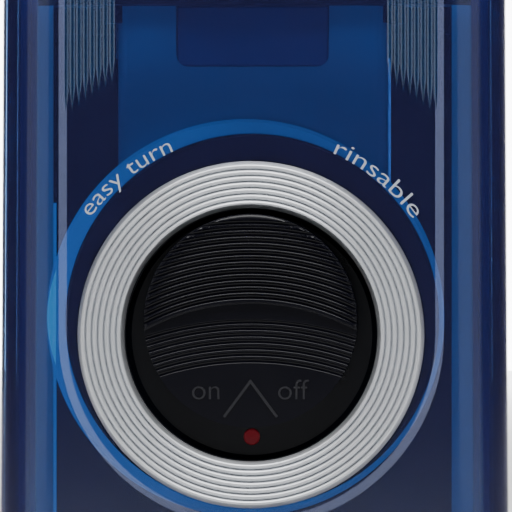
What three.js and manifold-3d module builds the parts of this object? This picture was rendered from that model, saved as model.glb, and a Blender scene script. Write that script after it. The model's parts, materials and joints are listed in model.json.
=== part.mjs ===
// Battery shaver with one floating foil: a clear handle around a switch dial, two cells and a motor.
// Millimetres, +Z up. The front faces -Y. The origin is the middle of the flat base.

import * as THREE from 'three';
import { mergeVertices } from 'three/addons/utils/BufferGeometryUtils.js';
import Module from 'manifold-3d';

const wasm = await Module();
wasm.setup();

// Gaps
const seam = 0.3; // between two pieces that meet
const slip = 0.15; // round a piece that turns or slides
const seat = 0.05; // under a piece that is glued or screwed down

// Handle
const width = 61.4; // across the top
const flare = 0.55; // extra half width at the base
const frontDepth = 14.2; // from the parting plane to the front
const cornerRadius = 9;
const wall = 1.8;
const handleHeight = 95;
const tongueRise = 0.8;
const tongueMargin = 2.35; // round the ring
const fluteCount = 8;
const flutePitch = 0.8;
const fluteWidth = 0.45;
const fluteDepth = 0.35;
const fluteTipRadius = 34;

// Switch
const ringZ = 52;
const ringBand = 5.65;
const ringThickness = 1.5;
const ringProud = 1;
const dialRadius = 12.9;
const dialOffset = 1.7; // of the dial's axis over the ring's centre
const dialGap = 0.7; // to the ring where they come closest
const dialProud = 1.9;
const dialStep = 0.9;
const dialStepRadius = 27;
const dialStepRise = 2.3; // of the step's middle over the dial's axis
const spindleRadius = 2.4;
const flangeMargin = 1.65; // round the ring
const flangeThickness = 1.5;
const collarWall = 2;
const bowlFloor = 1.3;
const camRadius = 6.2;
const camThickness = 1.6;
const camGap = 1.4; // behind the bowl
const dotRadius = 1;
const dotMargin = 1.2; // from the dial's edge down to the middle of the index dot

// Cells and base
const capHeight = 14;
const capFloor = 2;
const capEdge = 1.2;
const spigotHeight = 3.6;
const spigotWall = 1;
const sealHeight = 1.4;
const cellRadius = 7.25;
const cellLength = 50.5;
const cellGap = 0.7; // between the two cells
const cellBottom = 6;
const nubRadius = 2.75;
const nubHeight = 1;
const boxWall = 1.2;
const contactRoom = 3;
const wireRadius = 0.35;
const coilRadius = 3.4; // of the springs under and over the cells
const capBridgeWidth = 9; // past the cells' axes, both ends together
const capBridgeDepth = 7;

// Chassis and circuit
const plateThickness = 1.4;
const contactDepth = 1.35; // between the cam and the board
const boardThickness = 1;
const boardHalfWidth = 13;
const boardHeight = 23;
const stripThickness = 0.3;
const stripX = 7.6;
const stripWidth = 4;
const bladeX = 5;
const bladeWidth = 1.8;
const bladeLength = 10;
const screwRadius = 0.75;
const screwHeadRadius = 1.5;
const screwHeadHeight = 0.9;
const screwEdge = 2; // from the board's side to its screws
const wingGap = 3.2; // from the chassis's sides to the handle's wall

// Motor and drive
const motorRadius = 9;
const motorLength = 25;
const shaftRadius = 1;
const throwRadius = 1.2; // of the eccentric pin, and half of the cutter's stroke
const carrierHalfWidth = 16.4;
const bossX = 15.9;
const bossInset = 6.6; // from the front and the back of the handle
const bossRadius = 2.4;
const deckThickness = 3;
const bridgeThickness = 2.4;
const bridgeHalfWidth = 11;
const bridgeHalfDepth = 5;
const pocketHalfWidth = 13.6; // in the carrier, for the bridge and its stroke
const pocketHalfDepth = 6;
const crankRadius = 0.9;
const discRadius = 3.2; // of the eccentric
const canWall = 0.8;
const pinRadius = 1.5;
const pinCollarRadius = 3.2;

// Head
const headInset = 1.2; // of the head inside the handle's outline
const headDepth = 25.8;
const headRadius = 8;
const headBaseHeight = 8.6;
const headWall = 2;
const gasketHeight = 0.4;
const gasketWidth = 1.4;
const driveOpening = 6.3; // radius of the hole for the drive in the head's floor
const driveSealRadius = 6;
const buttonHalfWidth = 4;
const buttonHeight = 4.6;
const buttonProud = 1;
const buttonTravel = 1.2;
const cassetteHeight = 9.7;
const cassetteNarrowing = 2.8;
const tabHalfWidth = 18.5;
const tabReach = 4;
const foilRadius = 7.1;
const foilThickness = 0.35;
const foilFloat = 1.5;
const frameWall = 1.3;
const finCount = 15;
const finGap = 0.4; // share of the fins' pitch that is open
const carrierBlockHalfWidth = 9;
const carrierBlockHalfDepth = 5;

// Places that follow from the sizes
const dialZ = ringZ + dialOffset;
const ringInner = dialRadius + dialOffset + dialGap;
const ringOuter = ringInner + ringBand;
const dotDrop = dialRadius - dialOffset + dotMargin;
const flangeRadius = ringOuter + flangeMargin;
const tongueHalfWidth = ringOuter + tongueMargin;
const cellSpacing = 2 * cellRadius + cellGap;
const shellFront = -frontDepth - tongueRise;
const shellInner = -frontDepth + wall;
const ringBack = shellFront + ringThickness - ringProud;
const ringFront = shellFront - ringProud;
const flangeFront = shellInner + seam;
const bowlBack = flangeFront + flangeThickness;
const bowlInside = bowlBack - bowlFloor;
const collarRadius = ringInner + collarWall - slip;
const dialBack = bowlInside - seam;
const dialFront = shellFront - dialProud;
const camFront = bowlBack + camGap;
const camBack = camFront + camThickness;
const boardFront = camBack + contactDepth;
const boardBack = boardFront + boardThickness;
const stripFront = boardBack + slip;
const plateFront = stripFront + stripThickness + seat;
const plateBack = plateFront + plateThickness;
const cellY = plateBack + seam + cellRadius;
const boxRear = cellY + cellRadius + seam + boxWall;
const rearDepth = boxRear + 0.25 + wall;
const driveY = (rearDepth - frontDepth) / 2;
const cellTop = cellBottom + cellLength;
const boxBottom = capHeight + spigotHeight + 0.7;
const boxTop = cellTop + contactRoom + 1.5;
const deckBottom = handleHeight - deckThickness;
const bridgeTop = deckBottom - 0.4;
const bridgeBottom = bridgeTop - bridgeThickness;
const eccentricTop = bridgeBottom - 0.5;
const motorTop = eccentricTop - 1.7;
const motorBottom = motorTop - motorLength;
const carrierTop = bridgeBottom + 0.6;
const carrierBottom = boxTop + seat + stripThickness + seam;
const bossFrontY = bossInset - frontDepth;
const bossRearY = rearDepth - bossInset;
const headBottom = handleHeight + gasketHeight;
const headFloor = headBottom + 2;
const headTop = headBottom + headBaseHeight;
const headHalfWidth = width / 2 - headInset;
const cassetteBottom = headTop + seam;
const cassetteTop = cassetteBottom + cassetteHeight;
const foilHalfLength = headHalfWidth - cassetteNarrowing - 3.6;
const frameHalfDepth = foilRadius + seam + frameWall;
const frameHalfWidth = foilHalfLength + 0.2 + frameWall;
const foilAxisZ = cassetteTop - 3.4;
const frameBottom = cassetteBottom + 0.9;
const cutterRadius = foilRadius - foilThickness - slip;
const cutterBottom = frameBottom + 0.8;
const cutterHalfLength = foilHalfLength - throwRadius - 0.6;
const collarTop = headFloor + 1;
const pinTop = cutterBottom - 2.8;

// Turns any closed geometry into one with shared vertices whose faces point out.
function closed(geometry) {
  const bare = new THREE.BufferGeometry();
  bare.setAttribute('position', geometry.attributes.position.clone());
  if (geometry.index) bare.setIndex(geometry.index.clone());
  const merged = mergeVertices(bare, 1e-4);
  const position = merged.attributes.position;
  const source = merged.index.array;
  const faces = [];
  const [a, b, c] = [new THREE.Vector3(), new THREE.Vector3(), new THREE.Vector3()];
  let volume = 0;
  for (let i = 0; i < source.length; i += 3) {
    const [p, q, r] = [source[i], source[i + 1], source[i + 2]];
    if (p === q || q === r || r === p) continue;
    faces.push(p, q, r);
    a.fromBufferAttribute(position, p);
    b.fromBufferAttribute(position, q);
    c.fromBufferAttribute(position, r);
    volume += a.dot(b.cross(c));
  }
  if (volume < 0) faces.reverse();
  merged.setIndex(faces);
  return merged;
}

function solid(geometry) {
  const whole = closed(geometry);
  return new wasm.Manifold(new wasm.Mesh({
    numProp: 3,
    vertProperties: Float32Array.from(whole.attributes.position.array),
    triVerts: Uint32Array.from(whole.index.array),
  }));
}

// Joins the first list of geometries and cuts the second list out of it.
function carve(bodies, cuts = []) {
  let result = solid(bodies[0]);
  for (const body of bodies.slice(1)) result = result.add(solid(body));
  for (const cut of cuts) result = result.subtract(solid(cut));
  return geometryOf(result);
}

function geometryOf(manifold) {
  const mesh = manifold.getMesh();
  const geometry = new THREE.BufferGeometry();
  geometry.setAttribute('position', new THREE.BufferAttribute(mesh.vertProperties, 3));
  geometry.setIndex(new THREE.BufferAttribute(mesh.triVerts, 1));
  return geometry;
}

function box(xLow, xHigh, yLow, yHigh, zLow, zHigh) {
  const geometry = new THREE.BoxGeometry(xHigh - xLow, yHigh - yLow, zHigh - zLow);
  return geometry.translate((xLow + xHigh) / 2, (yLow + yHigh) / 2, (zLow + zHigh) / 2);
}

function polygon(points) {
  return new THREE.Shape(points.map(([u, v]) => new THREE.Vector2(u, v)));
}

function extruded(shape, length, curveSegments) {
  return new THREE.ExtrudeGeometry(shape, { depth: length, bevelEnabled: false, curveSegments });
}

// A shape drawn in x and y, standing from one height to another.
function prismZ(shape, low, high, curveSegments = 3) {
  return extruded(shape, high - low, curveSegments).translate(0, 0, low);
}

// A shape drawn in x and z, reaching from its back towards the front.
function prismY(shape, back, front, curveSegments = 8) {
  const basis = new THREE.Matrix4().makeBasis(
    new THREE.Vector3(1, 0, 0), new THREE.Vector3(0, 0, 1), new THREE.Vector3(0, -1, 0));
  return extruded(shape, back - front, curveSegments).applyMatrix4(basis).translate(0, back, 0);
}

// A shape drawn in y and z, reaching from one side to the other.
function prismX(shape, low, high, curveSegments = 8) {
  const basis = new THREE.Matrix4().makeBasis(
    new THREE.Vector3(0, 1, 0), new THREE.Vector3(0, 0, 1), new THREE.Vector3(1, 0, 0));
  return extruded(shape, high - low, curveSegments).applyMatrix4(basis).translate(low, 0, 0);
}

// A profile of [radius, height] pairs turned about an upright axis.
function turnedZ(profile, x, y, segments = 20) {
  const points = profile.map(([r, z]) => new THREE.Vector2(r, z));
  return new THREE.LatheGeometry(points, segments).rotateX(Math.PI / 2).translate(x, y, 0);
}

// A profile of [radius, depth] pairs turned about an axis that runs front to back.
function turnedY(profile, x, z, segments = 20) {
  const points = profile.map(([r, y]) => new THREE.Vector2(r, y));
  return new THREE.LatheGeometry(points, segments).translate(x, 0, z);
}

const rod = (radius, low, high) => [[0, low], [radius, low], [radius, high], [0, high]];
const tube = (inner, outer, low, high) =>
  [[inner, low], [outer, low], [outer, high], [inner, high], [inner, low]];

function roundedRectangle(halfWidth, low, high, radius) {
  const shape = new THREE.Shape();
  const [left, right] = [-halfWidth + radius, halfWidth - radius];
  shape.absarc(right, low + radius, radius, -Math.PI / 2, 0, false);
  shape.absarc(right, high - radius, radius, 0, Math.PI / 2, false);
  shape.absarc(left, high - radius, radius, Math.PI / 2, Math.PI, false);
  shape.absarc(left, low + radius, radius, Math.PI, Math.PI * 1.5, false);
  shape.closePath();
  return shape;
}

// The handle's outline, moved inward by an inset.
function handleOutline(inset) {
  return roundedRectangle(width / 2 - inset, -frontDepth + inset, rearDepth - inset, cornerRadius - inset);
}

// The handle's outline as a block that widens towards the base.
function handleBlock(inset, low, high) {
  const geometry = prismZ(handleOutline(inset), low, high);
  const position = geometry.attributes.position;
  for (let i = 0; i < position.count; i += 1) {
    const down = 1 - position.getZ(i) / handleHeight;
    position.setX(i, position.getX(i) * (1 + down * flare / (width / 2)));
  }
  return geometry;
}

function headOutline(halfWidth, halfDepth, radius) {
  return roundedRectangle(halfWidth, driveY - halfDepth, driveY + halfDepth, radius);
}

class Helix extends THREE.Curve {
  constructor(radius, low, high, turns, x, y) {
    super();
    Object.assign(this, { radius, low, high, turns, x, y });
  }

  getPoint(t) {
    const angle = t * this.turns * Math.PI * 2;
    const height = this.low + t * (this.high - this.low);
    const [side, depth] = [this.radius * Math.cos(angle), this.radius * Math.sin(angle)];
    return new THREE.Vector3(this.x + side, this.y + depth, height);
  }
}

function coil(radius, low, high, turns, x, y) {
  const section = new THREE.Shape().absarc(0, 0, wireRadius, 0, Math.PI * 2, false);
  const path = new Helix(radius, low + wireRadius, high - wireRadius, turns, x, y);
  return new THREE.ExtrudeGeometry(section, {
    extrudePath: path, steps: Math.round(turns * 10), curveSegments: 3, bevelEnabled: false,
  });
}

// Handle shells

// A straight-sided panel on the front whose lower end is a half circle about the ring.
function tongue() {
  const shape = new THREE.Shape();
  shape.moveTo(tongueHalfWidth, handleHeight);
  shape.lineTo(tongueHalfWidth, ringZ);
  shape.absarc(0, ringZ, tongueHalfWidth, 0, -Math.PI, true);
  shape.lineTo(-tongueHalfWidth, handleHeight);
  shape.closePath();
  return prismY(shape, -frontDepth + wall / 2, shellFront, 12);
}

function flutes() {
  const cuts = [];
  for (let i = 0; i < fluteCount; i += 1) {
    const x = tongueHalfWidth - 0.9 - i * flutePitch;
    const low = ringZ + Math.sqrt(fluteTipRadius ** 2 - x ** 2);
    for (const side of [-1, 1]) {
      const [left, right] = [side * x - fluteWidth / 2, side * x + fluteWidth / 2];
      cuts.push(box(left, right, shellFront - 1, shellFront + fluteDepth, low, handleHeight + 1));
    }
  }
  return cuts;
}

function frontShell() {
  const low = capHeight + seam;
  const behind = box(-width, width, -seam / 2, rearDepth + 1, 0, handleHeight + 1);
  const recess = turnedY(rod(ringOuter + slip, ringBack + seat, shellFront - 1), 0, ringZ, 48);
  const opening = turnedY(rod(collarRadius + slip, shellInner + 1, shellFront - 1), 0, ringZ, 48);
  return carve(
    [handleBlock(0, low, handleHeight), tongue()],
    [handleBlock(wall, low - 1, handleHeight + 1), behind, recess, opening, ...flutes()]);
}

function rearShell() {
  const low = capHeight + seam;
  const before = box(-width, width, -frontDepth - 1, seam / 2, 0, handleHeight + 1);
  return carve(
    [handleBlock(0, low, handleHeight)],
    [handleBlock(wall, low - 1, handleHeight + 1), before]);
}

// Switch

function silverRing() {
  const edge = 0.35;
  return turnedY([
    [ringInner, ringBack], [ringOuter, ringBack], [ringOuter, ringFront + edge],
    [ringOuter - edge, ringFront], [ringInner + edge, ringFront], [ringInner, ringFront + edge],
    [ringInner, ringBack],
  ], 0, ringZ, 48);
}

function switchBowl() {
  const disc = solid(turnedY(rod(flangeRadius, bowlBack, flangeFront), 0, dialZ, 40));
  const room = solid(handleBlock(wall + seam, capHeight, handleHeight));
  const flange = geometryOf(disc.intersect(room));
  const collar = turnedY(rod(collarRadius, bowlBack, ringBack + 0.1 + seat), 0, ringZ, 48);
  const dish = turnedY(rod(ringInner - 0.1, bowlInside, ringFront), 0, ringZ, 48);
  const bore = turnedY(rod(spindleRadius + slip, bowlBack + 1, shellFront), 0, dialZ, 20);
  return carve([flange, collar], [dish, bore]);
}

function dial() {
  const dome = turnedY([
    [0, dialBack], [dialRadius - 0.4, dialBack], [dialRadius, dialBack - 0.4],
    [dialRadius, dialFront + 1.5], [dialRadius - 0.7, dialFront + 0.6],
    [dialRadius / 2, dialFront + 0.1], [0, dialFront],
  ], 0, dialZ, 40);
  const lower = new THREE.Shape();
  const centre = dialZ + dialStepRise - dialStepRadius;
  lower.absarc(0, centre, dialStepRadius, Math.PI * 0.25, Math.PI * 0.75, false);
  lower.lineTo(-dialRadius - 5, centre);
  lower.lineTo(dialRadius + 5, centre);
  lower.closePath();
  return carve([dome], [prismY(lower, dialFront + dialStep, dialFront - 1, 16)]);
}

function dialSpindle() {
  return turnedY(rod(spindleRadius, dialBack + seat, camBack + 1), 0, dialZ);
}

function switchCam() {
  const lobe = box(-1.6, 1.6, camFront, camBack, dialZ - camRadius - 1.4, dialZ - camRadius + 1);
  const disc = turnedY(rod(camRadius, camFront, camBack), 0, dialZ, 28);
  return carve([disc, lobe], [turnedY(rod(spindleRadius + slip, camFront - 1, camBack + 1), 0, dialZ)]);
}

function dialClip() {
  const low = camBack + seat;
  const ring = turnedY(tube(spindleRadius + slip, spindleRadius + 1.3, low, low + 0.5), 0, dialZ);
  return carve([ring], [box(-1, 1, low - 1, low + 2, dialZ, dialZ + camRadius)]);
}

function contactBlade(side) {
  const [back, front] = [boardFront - seat, camBack + slip];
  const low = dialZ - bladeLength / 2;
  const leaf = polygon([
    [back, low], [back - stripThickness, low], [front, dialZ - 1], [front, dialZ + 1],
    [front + stripThickness, dialZ + 1], [front + stripThickness, dialZ - 0.8], [back, low + 1],
  ]);
  return prismX(leaf, side * bladeX - bladeWidth / 2, side * bladeX + bladeWidth / 2);
}

// Circuit, chassis and cells

const boardScrewX = boardHalfWidth - screwEdge;
const boardTop = boxTop - 0.2;
const boardScrewZ = boardTop - boardHeight + screwEdge + 0.2;

function circuitBoard() {
  const low = boardTop - boardHeight;
  const plate = box(-boardHalfWidth, boardHalfWidth, boardFront, boardBack, low, boardTop);
  const holes = [-1, 1].map((side) =>
    turnedY(rod(screwRadius + slip, boardFront - 1, boardBack + 1), side * boardScrewX, boardScrewZ, 12));
  return carve([plate], holes);
}

function boardScrew(side) {
  const head = boardFront - seat;
  const tip = plateBack - 0.3;
  return turnedY([
    [0, head - screwHeadHeight], [screwHeadRadius, head - screwHeadHeight], [screwHeadRadius, head],
    [screwRadius, head], [screwRadius, tip], [0, tip],
  ], side * boardScrewX, boardScrewZ, 12);
}

function innerChassis() {
  const halfWidth = width / 2 - wall - wingGap;
  const cellSide = cellSpacing / 2;
  const boxHalf = cellSide + cellRadius + seam + boxWall;
  const wingTop = carrierTop - 0.4;
  const plate = box(-halfWidth, halfWidth, plateFront, plateBack, boxBottom, wingTop);
  const casing = box(-boxHalf, boxHalf, plateBack - 0.2, boxRear, boxBottom, boxTop);
  const window = box(-carrierHalfWidth - seam, carrierHalfWidth + seam, plateFront - 1, plateBack + 1,
    boxTop, wingTop + 1);
  const bores = [-1, 1].map((side) =>
    turnedZ(rod(cellRadius + seam - 0.05, boxBottom - 1, boxTop - 1.5), side * cellSide, cellY, 24));
  const holes = [-1, 1].map((side) =>
    turnedY(rod(screwRadius + slip, plateFront - 1, plateBack - 0.1), side * boardScrewX, boardScrewZ, 12));
  return carve([plate, casing], [window, ...bores, ...holes]);
}

function battery(side) {
  const [low, high] = [cellBottom, cellTop];
  const up = [
    [0, low], [cellRadius - 0.4, low], [cellRadius, low + 0.4], [cellRadius, high - nubHeight - 0.4],
    [cellRadius - 0.4, high - nubHeight], [nubRadius, high - nubHeight], [nubRadius, high], [0, high],
  ];
  const profile = side < 0 ? up : up.map(([r, z]) => [r, low + high - z]).reverse();
  return turnedZ(profile, side * cellSpacing / 2, cellY, 24);
}

function topContactPlate() {
  const [low, high] = [cellTop + seam, boxTop - 1.5 - seat];
  return turnedZ([[0, low], [2.2, low], [2.2, high - 0.4], [4, high - 0.4], [4, high], [0, high]],
    -cellSpacing / 2, cellY, 16);
}

function topContactSpring() {
  return coil(coilRadius, cellTop + 0.1, boxTop - 1.5 - seat, 3, cellSpacing / 2, cellY);
}

// A strip that runs up the chassis and over the battery box to the contact under it.
function contactStrip(side) {
  const [front, top] = [stripFront, boxTop + seat];
  const bend = polygon([
    [front, boxTop - 14], [front + stripThickness, boxTop - 14], [front + stripThickness, top],
    [cellY, top], [cellY, top + stripThickness], [front, top + stripThickness],
  ]);
  return prismX(bend, side * stripX - stripWidth / 2, side * stripX + stripWidth / 2);
}

// Battery cap

const spigotInset = wall + 0.35;
const grooveBottom = capHeight + 0.9;

function batteryCap() {
  const shape = handleOutline(capEdge);
  const bevel = { depth: capHeight, bevelThickness: capEdge, bevelSize: capEdge, bevelSegments: 1 };
  const block = new THREE.ExtrudeGeometry(shape, { ...bevel, curveSegments: 3 }).translate(0, 0, capEdge);
  const position = block.attributes.position;
  for (let i = 0; i < position.count; i += 1) {
    const down = 1 - position.getZ(i) / handleHeight;
    position.setX(i, position.getX(i) * (1 + down * flare / (width / 2)));
  }
  const spigotTop = capHeight + spigotHeight;
  const above = box(-width, width, -rearDepth * 2, rearDepth * 2, capHeight, capHeight * 3);
  const outer = carve([block], [above]);
  const spigot = handleBlock(spigotInset, capHeight - 3, spigotTop);
  const cavity = handleBlock(spigotInset + spigotWall, capFloor, spigotTop + 1);
  const groove = carve(
    [handleBlock(spigotInset - 1, grooveBottom, grooveBottom + sealHeight + 0.2)],
    [handleBlock(spigotInset + 0.5, grooveBottom - 1, grooveBottom + sealHeight + 1)]);
  return carve([outer, spigot], [cavity, groove]);
}

function capSeal() {
  const low = grooveBottom + 0.1;
  return carve(
    [handleBlock(wall + 0.1, low, low + sealHeight)],
    [handleBlock(spigotInset + 0.45, low - 1, low + sealHeight + 1)]);
}

function capBridge() {
  const low = capFloor + seat;
  const x = cellSpacing / 2;
  const [halfWidth, halfDepth] = [x + capBridgeWidth / 2, capBridgeDepth / 2];
  return carve([
    box(-halfWidth, halfWidth, cellY - halfDepth, cellY + halfDepth, low, low + 0.5),
    turnedZ(rod(2.4, low + 0.2, cellBottom - seam), x, cellY, 16),
  ]);
}

function capSpring() {
  return coil(coilRadius, capFloor + seat + 0.55, cellBottom - 0.1, 3, -cellSpacing / 2, cellY);
}

// Motor and drive

function bosses(radius, low, high, segments = 16) {
  const places = [];
  for (const side of [-1, 1]) {
    for (const y of [bossFrontY, bossRearY]) {
      places.push(turnedZ(rod(radius, low, high), side * bossX, y, segments));
    }
  }
  return places;
}

function motorCarrier() {
  const [front, rear] = [bowlBack + 0.4, rearDepth - wall - 0.6];
  const block = box(-carrierHalfWidth, carrierHalfWidth, front, rear, carrierBottom, carrierTop);
  const bore = turnedZ(rod(motorRadius + 0.2, carrierBottom - 1, carrierTop + 1), 0, driveY, 28);
  const pocket = box(-pocketHalfWidth, pocketHalfWidth, driveY - pocketHalfDepth,
    driveY + pocketHalfDepth, bridgeBottom - 0.4, carrierTop + 1);
  return carve([block, ...bosses(bossRadius, motorTop - 3, carrierTop)],
    [bore, pocket, ...bosses(1.1, carrierTop - 4.5, carrierTop + 1, 10)]);
}

function motorCan() {
  const [top, under, inner] = [motorTop, motorTop - canWall, motorRadius - canWall];
  return turnedZ([
    [inner, motorBottom], [motorRadius, motorBottom], [motorRadius, under], [inner, top],
    [shaftRadius + slip, top], [shaftRadius + slip, under], [inner, under], [inner, motorBottom],
  ], 0, driveY, 28);
}

function motorEndBell() {
  const radius = motorRadius - canWall - 0.1;
  const low = motorBottom - 0.4;
  return turnedZ([
    [0, low], [radius, low], [radius, low + 2.2], [shaftRadius + slip, low + 2.2],
    [shaftRadius + slip, low + 1], [0, low + 1],
  ], 0, driveY, 28);
}

function motorShaft() {
  return turnedZ(rod(shaftRadius, motorBottom + 0.8, eccentricTop - 0.2), 0, driveY, 12);
}

function armature() {
  return turnedZ(tube(shaftRadius + 0.08, motorRadius - 2.2, motorBottom + 4, motorTop - 4), 0, driveY, 18);
}

function eccentric() {
  const low = motorTop + 0.4;
  const disc = turnedZ(rod(discRadius, low, eccentricTop), 0, driveY, 18);
  const crank = turnedZ(rod(crankRadius, eccentricTop - 0.2, bridgeTop - 1), throwRadius, driveY, 12);
  const bore = turnedZ(rod(shaftRadius + 0.08, low - 1, eccentricTop - 0.15), 0, driveY, 12);
  return carve([disc, crank], [bore]);
}

function driveBridge() {
  const plate = box(-bridgeHalfWidth, bridgeHalfWidth, driveY - bridgeHalfDepth,
    driveY + bridgeHalfDepth, bridgeBottom, bridgeTop);
  const reach = crankRadius + throwRadius;
  const slot = box(-reach - throwRadius - seam, reach + throwRadius + seam, driveY - reach - seam,
    driveY + reach + seam, bridgeBottom - 1, bridgeTop - 0.7);
  const pin = turnedZ([
    [0, bridgeTop - 0.2], [pinRadius, bridgeTop - 0.2], [pinRadius, collarTop - 0.7],
    [pinCollarRadius, collarTop - 0.7], [pinCollarRadius, collarTop], [pinRadius, collarTop],
    [pinRadius, pinTop], [0, pinTop],
  ], 0, driveY, 16);
  return carve([plate, pin], [slot]);
}

function topDeck() {
  const plate = handleBlock(wall + seam, deckBottom, handleHeight);
  const room = pinRadius + throwRadius + seam;
  const slot = box(-room, room, driveY - pinRadius - seam, driveY + pinRadius + seam,
    deckBottom - 1, handleHeight + 1);
  const holes = bosses(1.2, carrierTop - 1, handleHeight + 1, 10);
  const counterbores = bosses(2.5, handleHeight - 1.3, handleHeight + 1);
  return carve([plate, ...bosses(bossRadius, carrierTop + seat, deckBottom + 1)],
    [slot, ...holes, ...counterbores]);
}

function deckScrew(side, y) {
  const [head, top, tip] = [handleHeight - 1.25, handleHeight - 0.15, carrierTop - 4.2];
  const profile = [[0, tip], [0.95, tip], [0.95, head], [2.3, head], [2.3, top], [0, top]];
  return turnedZ(profile, side * bossX, y, 12);
}

function driveSeal() {
  const [inner, low] = [pinRadius + throwRadius + slip, handleHeight + seat];
  return turnedZ([
    [inner, low], [driveSealRadius, low], [driveSealRadius, low + 0.7], [4.2, low + 1],
    [3.6, headFloor - 0.2], [inner, headFloor - 0.2], [inner, low],
  ], 0, driveY, 24);
}

function deckGasket() {
  return carve(
    [handleBlock(wall + 0.7, handleHeight + seat, headBottom - seat)],
    [handleBlock(wall + 0.7 + gasketWidth, handleHeight - 1, headBottom + 1)]);
}

// Head

const headInnerX = headHalfWidth - headWall;
const buttonLow = headFloor + 0.7;

function headBase() {
  const halfDepth = headDepth / 2;
  const outer = prismZ(headOutline(headHalfWidth, halfDepth, headRadius), headBottom, headTop);
  const well = prismZ(headOutline(headInnerX, halfDepth - headWall, headRadius - headWall),
    headFloor, headTop + 1);
  const windows = box(-width, width, driveY - buttonHalfWidth - 0.2, driveY + buttonHalfWidth + 0.2,
    buttonLow - 0.2, buttonLow + buttonHeight + 0.2);
  const opening = turnedZ(rod(driveOpening, headBottom - 1, headFloor + 1), 0, driveY, 24);
  return carve([outer], [well, windows, opening]);
}

function releaseButton(side) {
  const flange = headInnerX - 0.2;
  const face = box(flange - 0.2, headHalfWidth + buttonProud, driveY - buttonHalfWidth,
    driveY + buttonHalfWidth, buttonLow, buttonLow + buttonHeight);
  const stop = box(flange - 0.7, flange, driveY - buttonHalfWidth - 1, driveY + buttonHalfWidth + 1,
    buttonLow - 0.5, buttonLow + buttonHeight + 0.5);
  const button = carve([face, stop]);
  return side > 0 ? button : closed(button.scale(-1, 1, 1));
}

function releaseSpring(side) {
  const reach = headInnerX - 0.9 - buttonTravel - seam;
  const low = headFloor + seat;
  const leaf = polygon([
    [reach - 3.4, low], [reach, low], [reach, low + 4.6], [reach - 0.4, low + 4.6],
    [reach - 0.4, low + 0.4], [reach - 3.4, low + 0.4],
  ]);
  const spring = prismY(leaf, driveY + 2, driveY - 2);
  return side > 0 ? spring : closed(spring.scale(-1, 1, 1));
}

function foilCassette() {
  const [halfWidth, halfDepth] = [headHalfWidth - 0.4, headDepth / 2 - 0.5];
  const outer = prismZ(headOutline(halfWidth, halfDepth, headRadius), cassetteBottom, cassetteTop);
  const position = outer.attributes.position;
  for (let i = 0; i < position.count; i += 1) {
    if (position.getZ(i) < (cassetteBottom + cassetteTop) / 2) continue;
    position.setX(i, position.getX(i) * (1 - cassetteNarrowing / halfWidth));
    position.setY(i, driveY + (position.getY(i) - driveY) * (1 - 0.8 * cassetteNarrowing / halfDepth));
  }
  const well = prismZ(headOutline(frameHalfWidth + seam, frameHalfDepth + seam, 1.5),
    cassetteBottom - 1, cassetteTop + 1);
  const [tabInner, tabOuter] = [frameHalfDepth + seam, headDepth / 2 - headWall - seam];
  const tabs = [-1, 1].map((side) => {
    const [near, far] = [driveY + side * tabInner, driveY + side * tabOuter];
    return box(-tabHalfWidth, tabHalfWidth, Math.min(near, far), Math.max(near, far),
      cassetteBottom - tabReach, cassetteBottom + 1);
  });
  return carve([outer, ...tabs], [well]);
}

// The arch of the foil, or of what lies under it, as a shape in y and z.
function arch(radius, bottom) {
  const shape = new THREE.Shape();
  shape.moveTo(driveY + radius, bottom);
  shape.lineTo(driveY + radius, foilAxisZ);
  shape.absarc(driveY, foilAxisZ, radius, 0, Math.PI, false);
  shape.lineTo(driveY - radius, bottom);
  shape.closePath();
  return shape;
}

function foilFrame() {
  const outer = prismZ(headOutline(frameHalfWidth, frameHalfDepth, 1.2), frameBottom, foilAxisZ);
  const cheeks = [-1, 1].map((side) => {
    const [near, far] = [side * (frameHalfWidth - frameWall), side * frameHalfWidth];
    return prismX(arch(foilRadius + 0.7, frameBottom + 1), Math.min(near, far), Math.max(near, far), 6);
  });
  const well = box(-foilHalfLength - 0.2, foilHalfLength + 0.2, driveY - foilRadius - 0.1,
    driveY + foilRadius + 0.1, frameBottom - 1, foilAxisZ + 20);
  return carve([outer, ...cheeks], [well]);
}

function foil() {
  return carve(
    [prismX(arch(foilRadius, frameBottom + 0.6), -foilHalfLength, foilHalfLength)],
    [prismX(arch(foilRadius - foilThickness, frameBottom - 1), -foilHalfLength - 1, foilHalfLength + 1)]);
}

function cutterBlock() {
  const pitch = 2 * cutterHalfLength / finCount;
  const gaps = [];
  for (let i = 1; i < finCount; i += 1) {
    const x = -cutterHalfLength + i * pitch;
    const half = pitch * finGap / 2;
    gaps.push(box(x - half, x + half, driveY - 9, driveY + 9, foilAxisZ + 1, foilAxisZ + 20));
  }
  return carve([prismX(arch(cutterRadius, cutterBottom), -cutterHalfLength, cutterHalfLength)], gaps);
}

function cutterCarrier() {
  const [low, high] = [collarTop + 2.8, cutterBottom - 0.1];
  const block = box(-carrierBlockHalfWidth, carrierBlockHalfWidth, driveY - carrierBlockHalfDepth,
    driveY + carrierBlockHalfDepth, low, high);
  const socket = turnedZ(rod(pinRadius + slip, low - 1, pinTop + foilFloat + seam), 0, driveY, 16);
  return carve([block], [socket]);
}

function cutterSpring() {
  return coil(2.5, collarTop + seat, collarTop + 2.7, 2.5, 0, driveY);
}

// Assembly

const shaver = new THREE.Group();

function place(name, geometry, color, roughness, metalness = 0, opacity = 1) {
  const whole = closed(geometry);
  whole.computeVertexNormals();
  const material = new THREE.MeshStandardMaterial({ color, roughness, metalness });
  material.transparent = opacity < 1;
  material.opacity = opacity;
  const mesh = new THREE.Mesh(whole, material);
  mesh.name = name;
  shaver.add(mesh);
}

const clearBlue = 0x1e3c86;
const black = 0x101014;
const steel = 0xb8bcc2;
const copper = 0xc8a060;

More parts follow.
